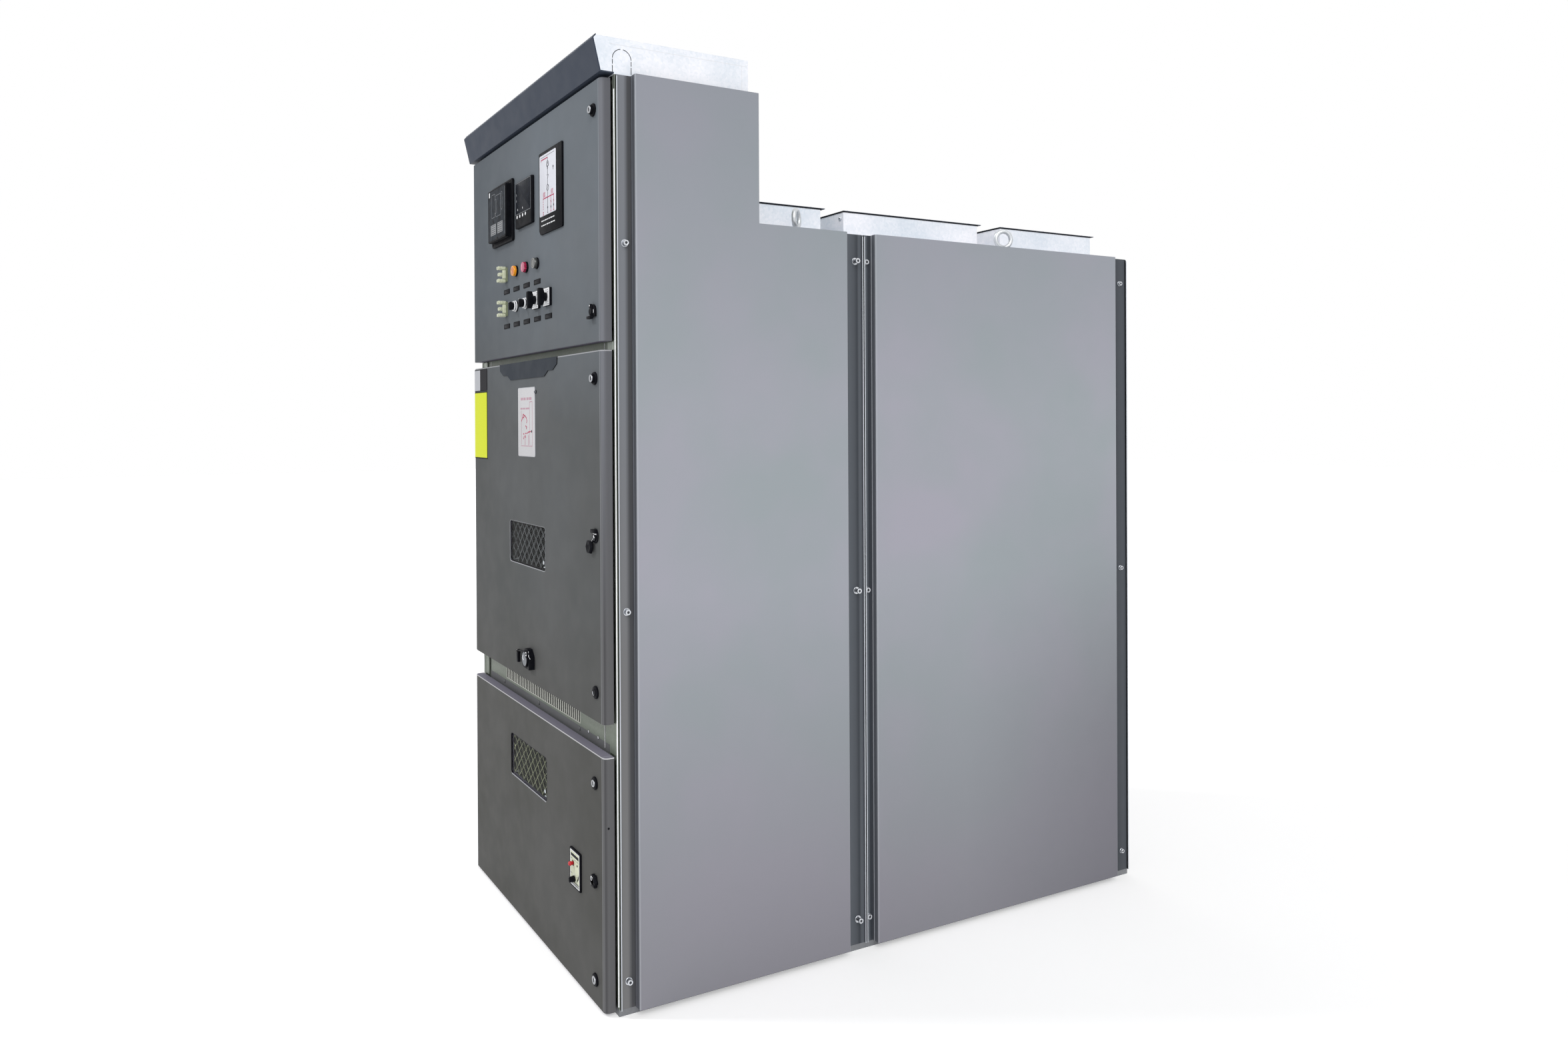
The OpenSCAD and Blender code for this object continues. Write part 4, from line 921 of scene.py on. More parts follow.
addPiece("panel_meter", bm, [blackPlastic, blackGloss, whitePlastic, greyPlastic, greyFilm], "upper_door",
         "black_plastic", "multimeter")


# Mimic panel: a pale field on a black plate, with a plain single-line drawing

mimic = {"thick": 5, "cut": 10, "fieldLow": (-75, -59), "fieldHigh": (41, 96), "trunk": -16.8}

spot, extent = middle("mimic_panel"), size("mimic_panel")
bm, at = begin("front", spot.x, doorFace, spot.z)
thick, cut, trunk = mimic["thick"], mimic["cut"], mimic["trunk"]
w, h = extent.x / 2, extent.z / 2
plateOutline = shape([(w - 3, -h), (w, -h + 3), (w, h - 3), (w - 3, h), (-w + 3, h), (-w, h - 3),
                      (-w, -h + cut), (-w + cut, -h)])
loft(bm, plateOutline, [(0, 0), (0, thick - 1), (0.4, thick - 0.4), (1, thick - 0.15)], at)
(u0, v0), (u1, v1) = mimic["fieldLow"], mimic["fieldHigh"]
block(bm, u1 - u0, v1 - v0, thick - 0.5, thick - 0.1, at, 1, ((u0 + u1) / 2, (v0 + v1) / 2), 4, 0.1)
low, top = thick - 0.15, thick
drawing = [  # from, to, width and colour slot of each line
    ((-62.5, 84.5), (-16, 84), 2.8, 2), ((-62.5, 84.5), (-62.5, 80), 2.4, 2),
    ((trunk, 84), (trunk, 76), 2, 3), ((trunk, 60), (trunk, 42), 2.2, 3), ((trunk, 28), (trunk, 16), 2.2, 3),
    ((trunk, 0), (trunk, -40), 1.9, 3), ((trunk + 5, 41), (trunk - 1, 29), 2.8, 3),
    ((trunk - 5, 40), (trunk + 5, 40), 1.4, 3), ((trunk - 6, 62), (trunk + 6, 62), 1.8, 3),
    ((trunk - 6, 62), (trunk, 73), 1.8, 3), ((trunk + 6, 62), (trunk, 73), 1.8, 3),
    ((trunk - 3, 57), (trunk + 3, 57), 3, 3), ((trunk - 5, 3), (trunk + 4, 12), 1.8, 3),
    ((-50, -16), (27, -16), 2.8, 2), ((-48.3, -16), (-48.3, -20), 2.4, 2),
    ((-51.5, -50), (-45, -50), 2, 2), ((-48.3, -50), (-48.3, -57), 2, 2), ((-51.5, -57), (-45, -57), 2, 2),
    ((trunk, -44), (trunk, -55), 1.8, 3), ((5.5, -16), (5.5, -55), 2, 2), ((25, -16), (25, -55), 2, 2),
    ((3, -28), (8, -33), 2.6, 2), ((22.5, -29), (27.5, -33), 2.6, 2),
    ((2.5, -55), (8.5, -55), 2, 2), ((22, -55), (28, -55), 2, 2), ((trunk - 3, -55), (trunk + 3, -55), 2, 3),
    ((-66, 90), (30, 90), 1.4, 5)]
drawing += [((-48.3, v), (-48.3, v - 3.6), 2.6, 2) for v in range(-22, -46, -6)]
for u in (-46, -41, -36, 10, 15, 20):
    drawing += [((u, 0), (u - 2.4, -6), 2.2, 2), ((u - 2.4, -6), (u, -13), 2.2, 2)]
for start, end, width, tone in drawing:
    strip(bm, start, end, width, low, top, at, tone)
for v in (68, 8):
    outline(bm, disc(8, 24), 1.8, low, top, at, 3, (trunk, v))
for centre in ((trunk, -42), (5.5, -44), (25, -42)):
    loft(bm, shape([(3, 0), (0, 5), (-3, 0), (0, -5)]), [(0, low), (0, top)], at, 3, centre)
loft(bm, disc(3, 16), [(0, low), (0, top)], at, 3, (22, 54))
strip(bm, (22, 52), (22, 46), 2.4, low, top, at, 3)
for v, lengths in ((-71, (11, 7, 13, 6, 9, 16, 8)), (-83, (8, 12, 6, 14, 7, 15, 11))):
    u = -63
    for length in lengths:
        strip(bm, (u, v), (u + length, v), 2.8, low, top, at, 4)
        u += length + 3.6
addPiece("mimic_diagram", bm, [blackPlastic, lilacFilm, redFilm, darkFilm, whitePlastic, greyFilm],
         "upper_door", "black_plastic", "mimic_panel")
print("instruments made")


# Quarter-turn locks: what is behind the door is alike, what is in front differs

lockWorks = {"spindle": 5, "inside": -14, "tongueLow": -13, "tongueHigh": -10, "tongueHeight": 16,
             "tail": 8, "reach": 14}


def beginLock(joint):
    # Spindle and tongue, as far as the tongue's place behind the door's free edge
    place = pivot(joint)
    bm, at = begin("front", place.x, doorFace, place.z)
    tail, low, high, inside = (lockWorks[key] for key in ("tail", "tongueLow", "tongueHigh", "inside"))
    long = doorRight - lockWorks["reach"] - place.x + tail
    loft(bm, disc(lockWorks["spindle"]), [(0, 0.4), (0, inside + 0.6), (0.6, inside)], at, 1)
    tongue = slab(long, lockWorks["tongueHeight"], 3)
    loft(bm, tongue, [(0.4, high), (0, high - 0.4), (0, low + 0.4), (0.4, low)], at, 1, (long / 2 - tail, 0))
    return bm, at


bm, at = beginLock("upper_door_lock_turn")
arch = shape([(17, -12)] + arc(17, range(0, 181, 15)) + [(-17, -12)])
loft(bm, arch, [(0, 0.3), (0, 3.4), (0.8, 4.6), (2, 5), (4, 5)], at)
loft(bm, slab(12, 26, 2.5), [(0, 4.5), (0, 7), (0.6, 8)], at, 0, (-1, 3))
block(bm, 22, 7, 4.6, 13, at, 0, (-3, -13.5), 1.5, 1.2)
block(bm, 9, 9, 4.6, 9.5, at, 0, (-2, 13), 2, 1)
# painted highlight: a white dot on the rivet
loft(bm, disc(1.9, 16), [(0, 9.2), (0, 9.9), (0.5, 10.2)], at, 2, (-2.5, 13.5))
loft(bm, disc(8.5), [(0, 7.6), (0.4, 8.8), (1.6, 9.4), (3, 9.2)], at, 0, (-1, 0))
# painted highlights: a white arc down the right side and a grey line along the lip
tube(bm, [(9.5, -4, 5), (10.4, 0, 5.1), (10.2, 4, 5)], 0.7, at, 2, 8)
tube(bm, [(-12.5, -10.2, 12.4), (-3, -10.2, 12.7), (6, -10.2, 12.4)], 0.45, at, 3, 8)
addPiece("upper_lock", bm, [blackPlastic, screwZinc, whitePlastic, greyPlastic], "upper_door_lock",
         "black_plastic", "instrument_lock")

bm, at = beginLock("middle_door_lock_turn")
loft(bm, disc(17, 40), [(0, 0.3), (0, 1.8), (0.8, 2.7), (2, 3), (5, 3), (5.6, 2)], at)
loft(bm, slab(27, 9, 3), [(0, 2.6), (0, 7), (0.6, 8.1), (1.6, 8.5)], at, 0, (-1.5, 10.5))
# painted highlights: a white bar under the hood, white dots on the keyway and a grey crescent below
block(bm, 17, 2.4, 2.8, 5.2, at, 2, (1.5, 4.6), 0.6, 0.5)
loft(bm, disc(9), [(0, 2), (0, 4.4), (0.8, 5), (3, 5), (3.6, 3.4)], at, 0, (0, -2.5))
for centre in ((-1.6, -0.6), (0.8, -3.8)):
    loft(bm, disc(2, 16), [(0, 4.6), (0.2, 5.8), (1, 6.2)], at, 2, centre)
tube(bm, [(-6.4, -3, 4.9), (-5.2, -7.6, 5), (-1.2, -9.8, 5), (3, -9, 4.9)], 0.7, at, 3, 8)
# the dust cap hangs on its strap below the lock
strap = [(-4, -8, 3.5), (-8, -13, 4.2), (-12, -17, 5), (-15, -20, 6)]
tube(bm, strap, 2.4, at, 0, 10)
# painted highlight: a white line along the strap
tube(bm, [(u - 1, v + 1.8, w + 1.7) for u, v, w in strap], 0.5, at, 2, 8)
cap = (-20, -27)
loft(bm, hexagon(29), [(0.6, 5), (0, 5.8), (0, 9.6), (0.8, 11), (2.6, 12), (4, 11.8), (10, 11.4)], at, 0, cap)
loft(bm, disc(13, 24), [(0, 3.8), (0, 5.2)], at, 0, cap)
outline(bm, disc(6, 24), 0.8, 11.2, 11.9, at, 4, cap)
addPiece("middle_lock", bm, [blackPlastic, screwZinc, whitePlastic, greyPlastic, blackGloss],
         "middle_door_lock", "black_plastic", "breaker_lock")

bm, at = beginLock("lower_door_lock_turn")
loft(bm, fluted(16.3, 6, 3.2, 8), [(0, 0.3), (0, 5.6), (0.8, 7), (2, 8), (5, 8.4), (6, 9)], at)
loft(bm, hexagon(15), [(0, 7.5), (0, 8.6), (0.8, 9)], at, 3)
tube(bm, arc(4.6, range(0, 360, 30), -4, 6, 8.4), 0.8, at, 2, 8, loop=True)
loft(bm, disc(2.2, 16), [(0, 8), (0, 9)], at, 0, (-4, 6))
# painted highlight: a chrome arc on the lower left lobes
tube(bm, [(-10, -6, 7.4), (-8, -9.5, 7.6), (-4.5, -11.5, 7.4)], 0.8, at, 2, 8)
addPiece("lower_lock", bm, [blackPlastic, screwZinc, chrome, greyPlastic], "lower_door_lock",
         "black_plastic", "cable_lock")
print("locks made")


# Racking socket with its swinging cover, on the middle door

racking = {"across": 52, "depth": 16, "pin": 16, "cover": 22, "coverLow": 16.3, "coverHigh": 20.3,
           "clip": -91}

turnAt = pivot("racking_cover_turn")
pin, depth, clip = racking["pin"], racking["depth"], racking["clip"]
bm, at = begin("front", turnAt.x - pin, doorFace, turnAt.z - pin)
octagon = shape(arc(racking["across"] / 2 / math.cos(math.pi / 8), [22.5 + 45 * k for k in range(8)]))
loft(bm, octagon, [(0, 0), (0, depth - 2.4), (1, depth - 1), (2.4, depth - 0.4), (4, depth - 0.4)], at)
loft(bm, disc(19, 40), [(0, depth - 1), (0, depth - 0.2), (0.6, depth), (4, depth), (4.4, depth - 0.6),
                        (5.8, 4)], at)
loft(bm, hexagon(19), [(0, 3.8), (0, 7), (0.8, 7.5)], at, 1)
loft(bm, disc(13, 40), [(0, 4.2), (0, -20), (1, -21)], at, 1)
block(bm, 13, 31, 0, depth, at, 0, (20.5, -10.5), 2, 1)
block(bm, 10, 34, 0, 8, at, 0, (clip, -9), 1.5, 1)
# painted highlight: a white top on the clip
block(bm, 8, 5, 7.4, 8, at, 2, (clip, 5), 1, 0.3)
tube(bm, [(clip, 4, 5), (clip + 22, 9, 6), (-40, 11, 7), (-24, 10, 7.5)], 2.2, at, 0, 10)
# painted highlight: a chrome arc along the housing's upper right rim
tube(bm, [(16, 21.5, 13), (20, 18, 15.6), (23.5, 10, 15), (26.4, 3, 12)], 1.1, at, 3, 8)
loft(bm, disc(2.5, 24), [(0, depth - 1), (0, depth + 5.2), (0.8, depth + 6)], at, 1, (pin, pin))
addPiece("racking_socket", bm, [blackPlastic, darkSteel, whitePlastic, chrome], "middle_door",
         "black_plastic", "racking_housing")

bm = bmesh.new()
radius, low, high = racking["cover"], racking["coverLow"], racking["coverHigh"]
loft(bm, disc(radius, 48), [(0.8, low), (0, low + 0.6), (0, high - 1.4), (0.8, high - 0.4), (2, high),
                            (3.2, high - 0.2), (3.8, high - 0.9)], at)
loft(bm, disc(radius - 3.6, 48), [(0, high - 1.2), (0, high - 0.8)], at, 1)
ear = shape(arc(7.2, range(-45, 136, 15), pin, pin) + [(4, 14), (14, 4)])
loft(bm, ear, [(0, low + 0.1), (0, high - 0.6), (0.6, high - 0.1)], at)
outline(bm, disc(5.4), 2.4, high - 0.4, high + 0.3, at, 2, (pin, pin))
mark = [(-8 + 4 * math.cos(math.radians(a)), 3 + 5 * math.sin(math.radians(a)), high - 0.7)
        for a in range(70, 300, 24)]
tube(bm, mark, 0.8, at, 3, 8)
tube(bm, [(-5, -3.4, high - 0.7), (-5, -0.4, high - 0.7)], 0.8, at, 3, 8)
addPiece("racking_flap_disc", bm, [blackPlastic, greyPlastic, chrome, whitePlastic], "racking_flap",
         "black_plastic", "racking_cover")
print("racking socket made")


# Voltage indicator on the lower door, with its test button and knob

indicator = {"thick": 5, "faceWidth": 58, "faceHeight": 84, "caseDepth": 40, "buttonHole": 7, "ball": 5.5,
             "lights": [(-20, 22), (2, 22), (16, 22), (-22, -14), (18, -14), (-20, -31), (-4, -31),
                        (14, -31)], "testMarks": [(-5, 11), (0, 12.5), (5, 11)], "plugs": range(-2, 3)}

place, extent = middle("voltage_indicator"), size("voltage_indicator")
knob, button = pivot("test_knob_turn"), middle("indicator_button")
bm, at = begin("front", place.x, doorFace, place.z)
thick, back = indicator["thick"], -indicator["caseDepth"]
low, top = thick - 0.4, thick - 0.1
loft(bm, slab(extent.x, extent.z, 3), [(0, 0), (0, thick - 1.2), (0.5, thick - 0.3), (1.2, thick), (3, thick),
                                       (3.4, thick - 0.6)], at)
face = slab(indicator["faceWidth"], indicator["faceHeight"], 2)
loft(bm, face, [(0, thick - 1), (0, thick - 0.5), (0.4, thick - 0.3)], at, 1)
outline(bm, face, 2.2, thick - 0.6, thick - 0.05, at, 2)
strip(bm, (-24, 31), (24, 31), 7, low, thick - 0.15, at, 3)
dashes(bm, indicator["lights"], 10, 1.6, low, thick - 0.12, at, 4)
strip(bm, (-10, -32), (27, -32), 1.8, low, top, at)
strip(bm, (-24, -37), (24, -37), 5, low, thick - 0.15, at, 4)
strips(bm, [((12 + k * 3.4, -28 + k * 3), (18 + k * 2.6, -18 + k * 4)) for k in range(4)], 1.6, low, top, at)
loft(bm, disc(indicator["buttonHole"]), [(0, thick - 0.8), (0, thick + 0.2), (0.9, thick + 0.4),
                                         (1.2, thick - 1)], at, 0, (button.x - place.x, button.z - place.z))
loft(bm, disc(2.5, 20), [(0, thick - 0.6), (0, thick + 0.3), (0.6, thick + 0.5)], at, 0, (16, 13))
ku, kv = knob.x - place.x, knob.z - place.z
strips(bm, [((ku + u * 0.8, kv + v * 0.8), (ku + u, kv + v)) for u, v in indicator["testMarks"]],
       1.6, low, thick, at, 2)
loft(bm, slab(extent.x - 12, extent.z - 12, 2), [(0, -0.2), (0, back + 1), (1.5, back - 2)], at)
for step in indicator["plugs"]:
    block(bm, 7, 9, back - 1.5, back + 5, at, 5, (step * 9, 26), 1, 0.6)
addPiece("voltage_indicator_unit", bm, [blackPlastic, creamPlastic, whiteFilm, darkFilm, greyFilm,
                                        greenPlastic], "lower_door", "cream_plastic", "voltage_indicator")

bm, at = begin("front", button.x, doorFace, button.z)
loft(bm, disc(indicator["ball"]), [(1.2, -6), (1.2, 9), (0.3, 10.6), (0, 12), (0.3, 14), (1.1, 15.6),
                                   (2.4, 16.6), (4, 17)], at)
addPiece("test_button_cap", bm, [redPlastic], "test_button", "red_plastic", "indicator_button")

bm, at = begin("front", knob.x, doorFace, knob.z)
loft(bm, fluted(7.5, 16, 0.5), [(0, 5.3), (0, 9.2), (0.8, 10)], at)
loft(bm, slab(8, 13, 1.6), [(-0.6, 9.6), (0, 11), (0.3, 17.6), (0.8, 18.7), (1.4, 19)], at)
block(bm, 1.4, 6, 18.4, 19, at, 1, (0, 2.6), 0.4, 0.2)
loft(bm, disc(3, 20), [(0, 6), (0, -10)], at)
addPiece("test_knob_grip", bm, [blackPlastic, whitePlastic], "test_knob", "black_plastic", "indicator_knob")
print("voltage indicator made")


# Window trims, retaining frames and expanded-metal screens behind the panes

window = {"width": 280, "height": 114, "corner": 10, "pitchAcross": 36, "pitchUp": 34, "strand": 1.9,
          "screenWidth": 306, "screenHeight": 140}


def diamonds(bm, low, high, width, height, thick, at, slot, shiftU=0.0):
    # Two crossing families of strands, each cut to the sheet's rectangle
    pitch = window["pitchAcross"]
    slope = window["pitchUp"] / pitch
    for sign in (1, -1):
        count = int((width / 2 + height / slope / 2) / pitch) + 2
        for i in range(-count, count + 1):
            start = i * pitch + shiftU
            ends = []
            for v in (-height / 2, height / 2):
                inside = max(-width / 2, min(width / 2, start + sign * v / slope))
                ends.append((inside, sign * (inside - start) * slope))
            if (Vector(ends[1]) - Vector(ends[0])).length > 6:
                strip(bm, ends[0], ends[1], thick, low + 0.25 * sign, high + 0.25 * sign, at, slot)


wide, high, corner = window["width"], window["height"], window["corner"]
screenW, screenH, strand = window["screenWidth"], window["screenHeight"], window["strand"]
for node, body, mesh, board, trim, rim in (
        ("breaker_window", "middle_door", greyStrand, darkBoard, sealRubber, greyFilm),
        ("cable_window", "lower_door", oliveStrand, oliveBoard, plumFrame, darkFilm)):
    pane = middle(node)

    # the sheared edge of the opening, with a painted highlight below, where it is turned up to the light
    bm, at = begin("front", pane.x, doorFace, pane.z)
    outline(bm, slab(wide + 1.4, high + 1.4, corner + 0.7), 1.2, -1.9, 0.25, at)
    for face in bm.faces:
        if face.calc_center_median().z < (pane.z - high / 2 + 2) * mm:
            face.material_index = 1
    addPiece(node + "_edge", bm, [rim, paleFilm], body, "door_paint")

    # retaining frame round the pane, its clips, and the screen sandwiched behind the pane
    bm = bmesh.new()
    outline(bm, slab(screenW + 12, screenH + 12, 8), 18, -9.6, -6.2, at, 0)
    outline(bm, slab(wide + 0.2, high + 0.2, corner), 4.5, -8, -6.4, at, 1)
    for u in (-120, 0, 120):
        for v in (-screenH / 2 - 1, screenH / 2 + 1):
            loft(bm, disc(5, 20), [(0, -8), (0, -11.6), (0.8, -12.6)], at, 2, (u, v))
    addPiece(node + "_frame", bm, [plumFrame, trim, screwZinc], body, "black_plastic")

    bm = bmesh.new()
    diamonds(bm, -7.9, -7.3, screenW - 20, screenH - 18, strand, at, 0)
    if body == "middle_door":
        diamonds(bm, -14.4, -13.9, screenW * 0.6, screenH - 18, strand * 0.7, at, 0, 14)
    # the board behind the screen; on the middle door it is near-black, painted shade
    block(bm, screenW - 8, screenH - 8, -24, -22.6, at, 1, (0, 0), 4, 0.4)
    for u in (-130, 130):
        for v in (-52, 52):
            loft(bm, disc(3, 16), [(0, -9), (0, -25)], at, 2, (u, v))
    loft(bm, disc(5, 24), [(0, -7.6), (0, -6.9), (1, -6.7)], at, 3, (110, -37))
    loft(bm, slab(9, 3, 1), [(0, -7.6), (0, -6.9)], at, 3, (115, -48))
    addPiece(node + "_screen", bm, [mesh, board, screwZinc, paleFilm], body, "zinc_sheet")
print("window screens made")


# Instruction card and the two blank plates on the middle door

card = {"x": -16, "z": 1357.5, "width": 132, "height": 185, "thick": 1.2,
        "upper": [((-42, 62), (-25, 62)), ((-21, 62), (-4, 62)), ((3, 62), (18, 62)), ((22, 62), (42, 62))],
        "lower": [((-45, 36), (-30, 36)), ((-26, 36), (-8, 36)), ((-4, 36), (24, 36))],
        "rules": [((47, 54), (47, -63)), ((-41, -64), (47, -64)), ((26, 53), (26, -60)),
                  ((-38, 30), (-38, -60)), ((26, 53), (47, 54))],
        "sketch": [((-38, 2), (-27, 14)), ((-17, 18), (-8, 16)), ((-8, 16), (2, 10)), ((2, 10), (6, 3)),
                   ((6, 3), (2, -3)), ((-6, -10), (4, -14)), ((4, -14), (0, -19)), ((-24, -32), (-16, -32)),
                   ((-8, -31), (2, -30)), ((8, -30), (16, -27)), ((16, -27), (36, -25)),
                   ((-16, -38), (-22, -46)), ((-8, -36), (-4, -42))],
        "posts": [((-9.6, -62), (-9.6, -35)), ((16.7, -62), (16.7, -35))]}

bm, at = begin("front", card["x"], doorFace, card["z"])
wide, high, thick = card["width"], card["height"], card["thick"]
loft(bm, slab(wide, high, 5), [(0, 0), (0, thick - 0.4), (0.5, thick)], at, 3)
block(bm, wide - 3, high - 3, thick - 0.3, thick + 0.1, at, 0, (0, 0), 4, 0.1)
low, top = thick, thick + 0.22
for part, width, proud, tone in (("upper", 7, 0, 1), ("lower", 4.5, 0, 1), ("rules", 2.2, 0, 1),
                                 ("sketch", 3, 0.1, 2)):
    strips(bm, card[part], width, low, top + proud, at, tone)
outline(bm, disc(6, 20), 3, low, top + 0.1, at, 2, (-22, 16))
strips(bm, card["posts"], 4, low, top, at, 1)
loft(bm, disc(3.4, 16), [(0, low), (0, top + 0.1)], at, 4, (42, -25))
addPiece("instruction_card", bm, [cardFilm, pinkFilm, redFilm, paleFilm, darkFilm], "middle_door",
         "door_paint")

peg = {"x": 56.7, "z": 1436}
bm, at = begin("front", peg["x"], doorFace, peg["z"])
loft(bm, disc(3, 20), [(0, 0), (0, 4), (1.2, 5.4), (2.4, 5.8)], at)
loft(bm, disc(5, 20), [(0, 0), (0, 0.8), (0.6, 1.2)], at, 1)
addPiece("card_peg", bm, [greyPlastic, blackPlastic], "middle_door", "black_plastic")

plates = {"left": -489.6, "right": -358, "bend": 12, "wrap": 62, "thick": 0.7, "print": 0.95,
          "pair": (1451, 1516), "tall": (1250, 1449), "split": -423}


def bentFilm(bm, x0, x1, z0, z1, proud, slot):
    # A thin film on the door's face that wraps round its bent edge when it starts at the edge
    r, wrap = plates["bend"], plates["wrap"]
    centreX, centreY = doorLeft + r, doorFace + r
    path = []
    if x0 < centreX:
        for k in range(9):
            a = math.radians(wrap * (1 - k / 8))
            path.append([(centreX - math.sin(a) * far, centreY - math.cos(a) * far)
                         for far in (r + proud, r)])
    else:
        path.append([(x0, doorFace - proud), (x0, doorFace)])
    path.append([(x1, doorFace - proud), (x1, doorFace)])
    extrusion(bm, [outer for outer, inner in path] + [inner for outer, inner in reversed(path)], z0, z1, slot)


left, right, split, thick, proud = (plates[key] for key in ("left", "right", "split", "thick", "print"))
bm = bmesh.new()
z0, z1 = plates["pair"]
bentFilm(bm, left, right, z0, z1, thick, 1)
bentFilm(bm, left, split - 2, z0 + 2, z1 - 2, proud, 0)
bentFilm(bm, split + 2, right - 3, z0 + 2, z1 - 2, proud, 2)
addPiece("upper_blank_plate", bm, [paleFilm, blackLaminate, darkFilm], "middle_door", "door_paint")

bm = bmesh.new()
z0, z1 = plates["tall"]
bentFilm(bm, left, right, z0, z1, thick, 1)
bentFilm(bm, left, right - 3, z0 + 3, z1 - 3, proud, 0)
addPiece("lower_blank_plate", bm, [yellowFilm, blackLaminate], "middle_door", "door_paint")
print("card and plates made")


# The ledge between the lower doors: touch-up band, screw heads, holes and sheet joints

# each joint: its place, its foot, its width, how proud it is and its tone; the pale one is a painted
# highlight
ledge = {"face": -826, "bandEnd": 446, "bandLow": 585, "bandTop": 607, "headZ": 600,
         "heads": (-313, -25, 262.6), "holeZ": 606.8, "holes": (318.8, 378.2), "jointTop": 664,
         "joints": [(418, 593, 2.4, 0.5, 2), (420.2, 593, 1.2, 0.3, 1), (-444.5, 594, 1.6, 0.3, 1)]}

bm, at = begin("front", 0, ledge["face"], 0)
end, low, top = ledge["bandEnd"], ledge["bandLow"], ledge["bandTop"]
loft(bm, shape([(-end, low), (end, low), (end, top), (-end, top)]), [(0, -0.4), (0, 0.25), (1.5, 0.4)], at)
for u in ledge["heads"]:
    loft(bm, disc(5), [(0, 0.2), (0, 1.1), (0.8, 1.9), (2, 2.5), (3, 2.8)], at, 0, (u, ledge["headZ"]))
    outline(bm, disc(5.6), 0.7, 0.2, 0.7, at, 1, (u, ledge["headZ"]))
for u in ledge["holes"]:
    loft(bm, disc(3.6, 20), [(0, 0.2), (0, 0.8), (0.6, 1)], at, 2, (u, ledge["holeZ"]))
    outline(bm, disc(4.4, 20), 0.9, 0.3, 0.9, at, 1, (u, ledge["holeZ"]))
for u, foot, width, proud, tone in ledge["joints"]:
    strip(bm, (u, foot), (u, ledge["jointTop"]), width, -0.2, proud, at, tone)
addPiece("ledge_band", bm, [ledgePaint, darkFilm, whiteFilm], "cabinet", "zinc_sheet")

# painted shade: dark strips beside each vent slot, that widen the slots' shade
slotShadeStrips = {"count": 42, "pitch": 13.4, "middle": -16, "low": 615.5, "high": 658.5, "slot": 5, "width": 1.7}
bm = bmesh.new()
first = slotShadeStrips["middle"] - (slotShadeStrips["count"] - 1) / 2 * slotShadeStrips["pitch"] + (slotShadeStrips["slot"] + slotShadeStrips["width"]) / 2
strips(bm, [((first + i * slotShadeStrips["pitch"], slotShadeStrips["low"]), (first + i * slotShadeStrips["pitch"], slotShadeStrips["high"]))
            for i in range(slotShadeStrips["count"])], slotShadeStrips["width"], -0.2, 0.12, at)
addPiece("vent_slot_shade_strips", bm, [darkFilm], "cabinet", "zinc_sheet")

# painted highlights: white strips on the sheet joints of the rail between the upper doors
railJoint = {"across": (-424, 428), "low": 1522, "high": 1539, "width": 2.6}
bm = bmesh.new()
strips(bm, [((u, railJoint["low"]), (u, railJoint["high"])) for u in railJoint["across"]], railJoint["width"],
       -0.2, 0.5, at)
addPiece("rail_joints", bm, [whitePlastic], "cabinet", "zinc_sheet")

# painted shade: a black dome stands for the dark inside of the hole in the lower door's side return
holeShade = {"y": -849.5, "z": 430, "radius": 2.6}
bm, at = begin("right", doorRight, holeShade["y"], holeShade["z"])
loft(bm, disc(holeShade["radius"], 24), [(0, -2), (0, 0.1), (0.5, 0.4), (1.2, 0.6)], at)
addPiece("return_hole_shade", bm, [blackPlastic], "lower_door", "black_plastic")


# On both posts: rubber door seals in the grooves, zinc strips that close the grooves between the doors,
# where no seal runs (the lower ones darker, painted shade), and a white strip on the sheared nose, a painted
# highlight

seal = {"inner": 474, "outer": 486, "floor": -818.2, "lip": 2.2, "foot": 2.6, "bulb": 5, "rise": 8.6,
        "runs": [(24, 580), (668, 1518), (1542, 2126)]}
grooveStrip = {"inner": 453, "outer": 486.5, "front": -829.4, "back": -826,
               "runs": [(592, 665.5), (1521, 1539.5)]}
nose = {"middle": 498.2, "radius": 1.8, "back": -830, "low": 22, "high": 2112}

x0, x1, y = seal["inner"], seal["outer"], seal["floor"]
bulb = [((x0 + x1) / 2 + seal["bulb"] * math.cos(math.radians(a)),
         y - seal["foot"] - (seal["rise"] - seal["foot"]) * math.sin(math.radians(a)))
        for a in range(0, 181, 15)]
sealSection = [(x1, y), (x1, y - seal["lip"])] + bulb + [(x0, y - seal["lip"]), (x0, y)]
x0, x1, y0, y1 = (grooveStrip[key] for key in ("inner", "outer", "front", "back"))
stripSection = [(x0, y1), (x0, y0 + 0.5), (x0 + 0.5, y0), (x1 - 6, y0), (x1 - 5.4, y0 + 0.9),
                (x1 - 4.6, y0 + 0.9), (x1 - 4, y0), (x1 - 0.5, y0), (x1, y0 + 0.5), (x1, y1)]
noseSection = arc(nose["radius"], range(0, -181, -20), nose["middle"], nose["back"])
for name, section, runs, materials, slot in (
        ("door_seal_", sealSection, seal["runs"], [sealRubber], "black_plastic"),
        ("groove_strip_", stripSection, grooveStrip["runs"], [railSheet, aluzinc], "zinc_sheet"),
        ("post_nose_", noseSection, [(nose["low"], nose["high"])], [noseMetal], "zinc_sheet")):
    for sideName, sign in bothSides:
        bm = bmesh.new()
        for i, (low, high) in enumerate(runs):
            extrusion(bm, [(sign * x, y) for x, y in section], low, high, min(i, len(materials) - 1))
        addPiece(name + sideName, bm, materials, "cabinet", slot)


# Relief ducts on the roof: rubber under each lid

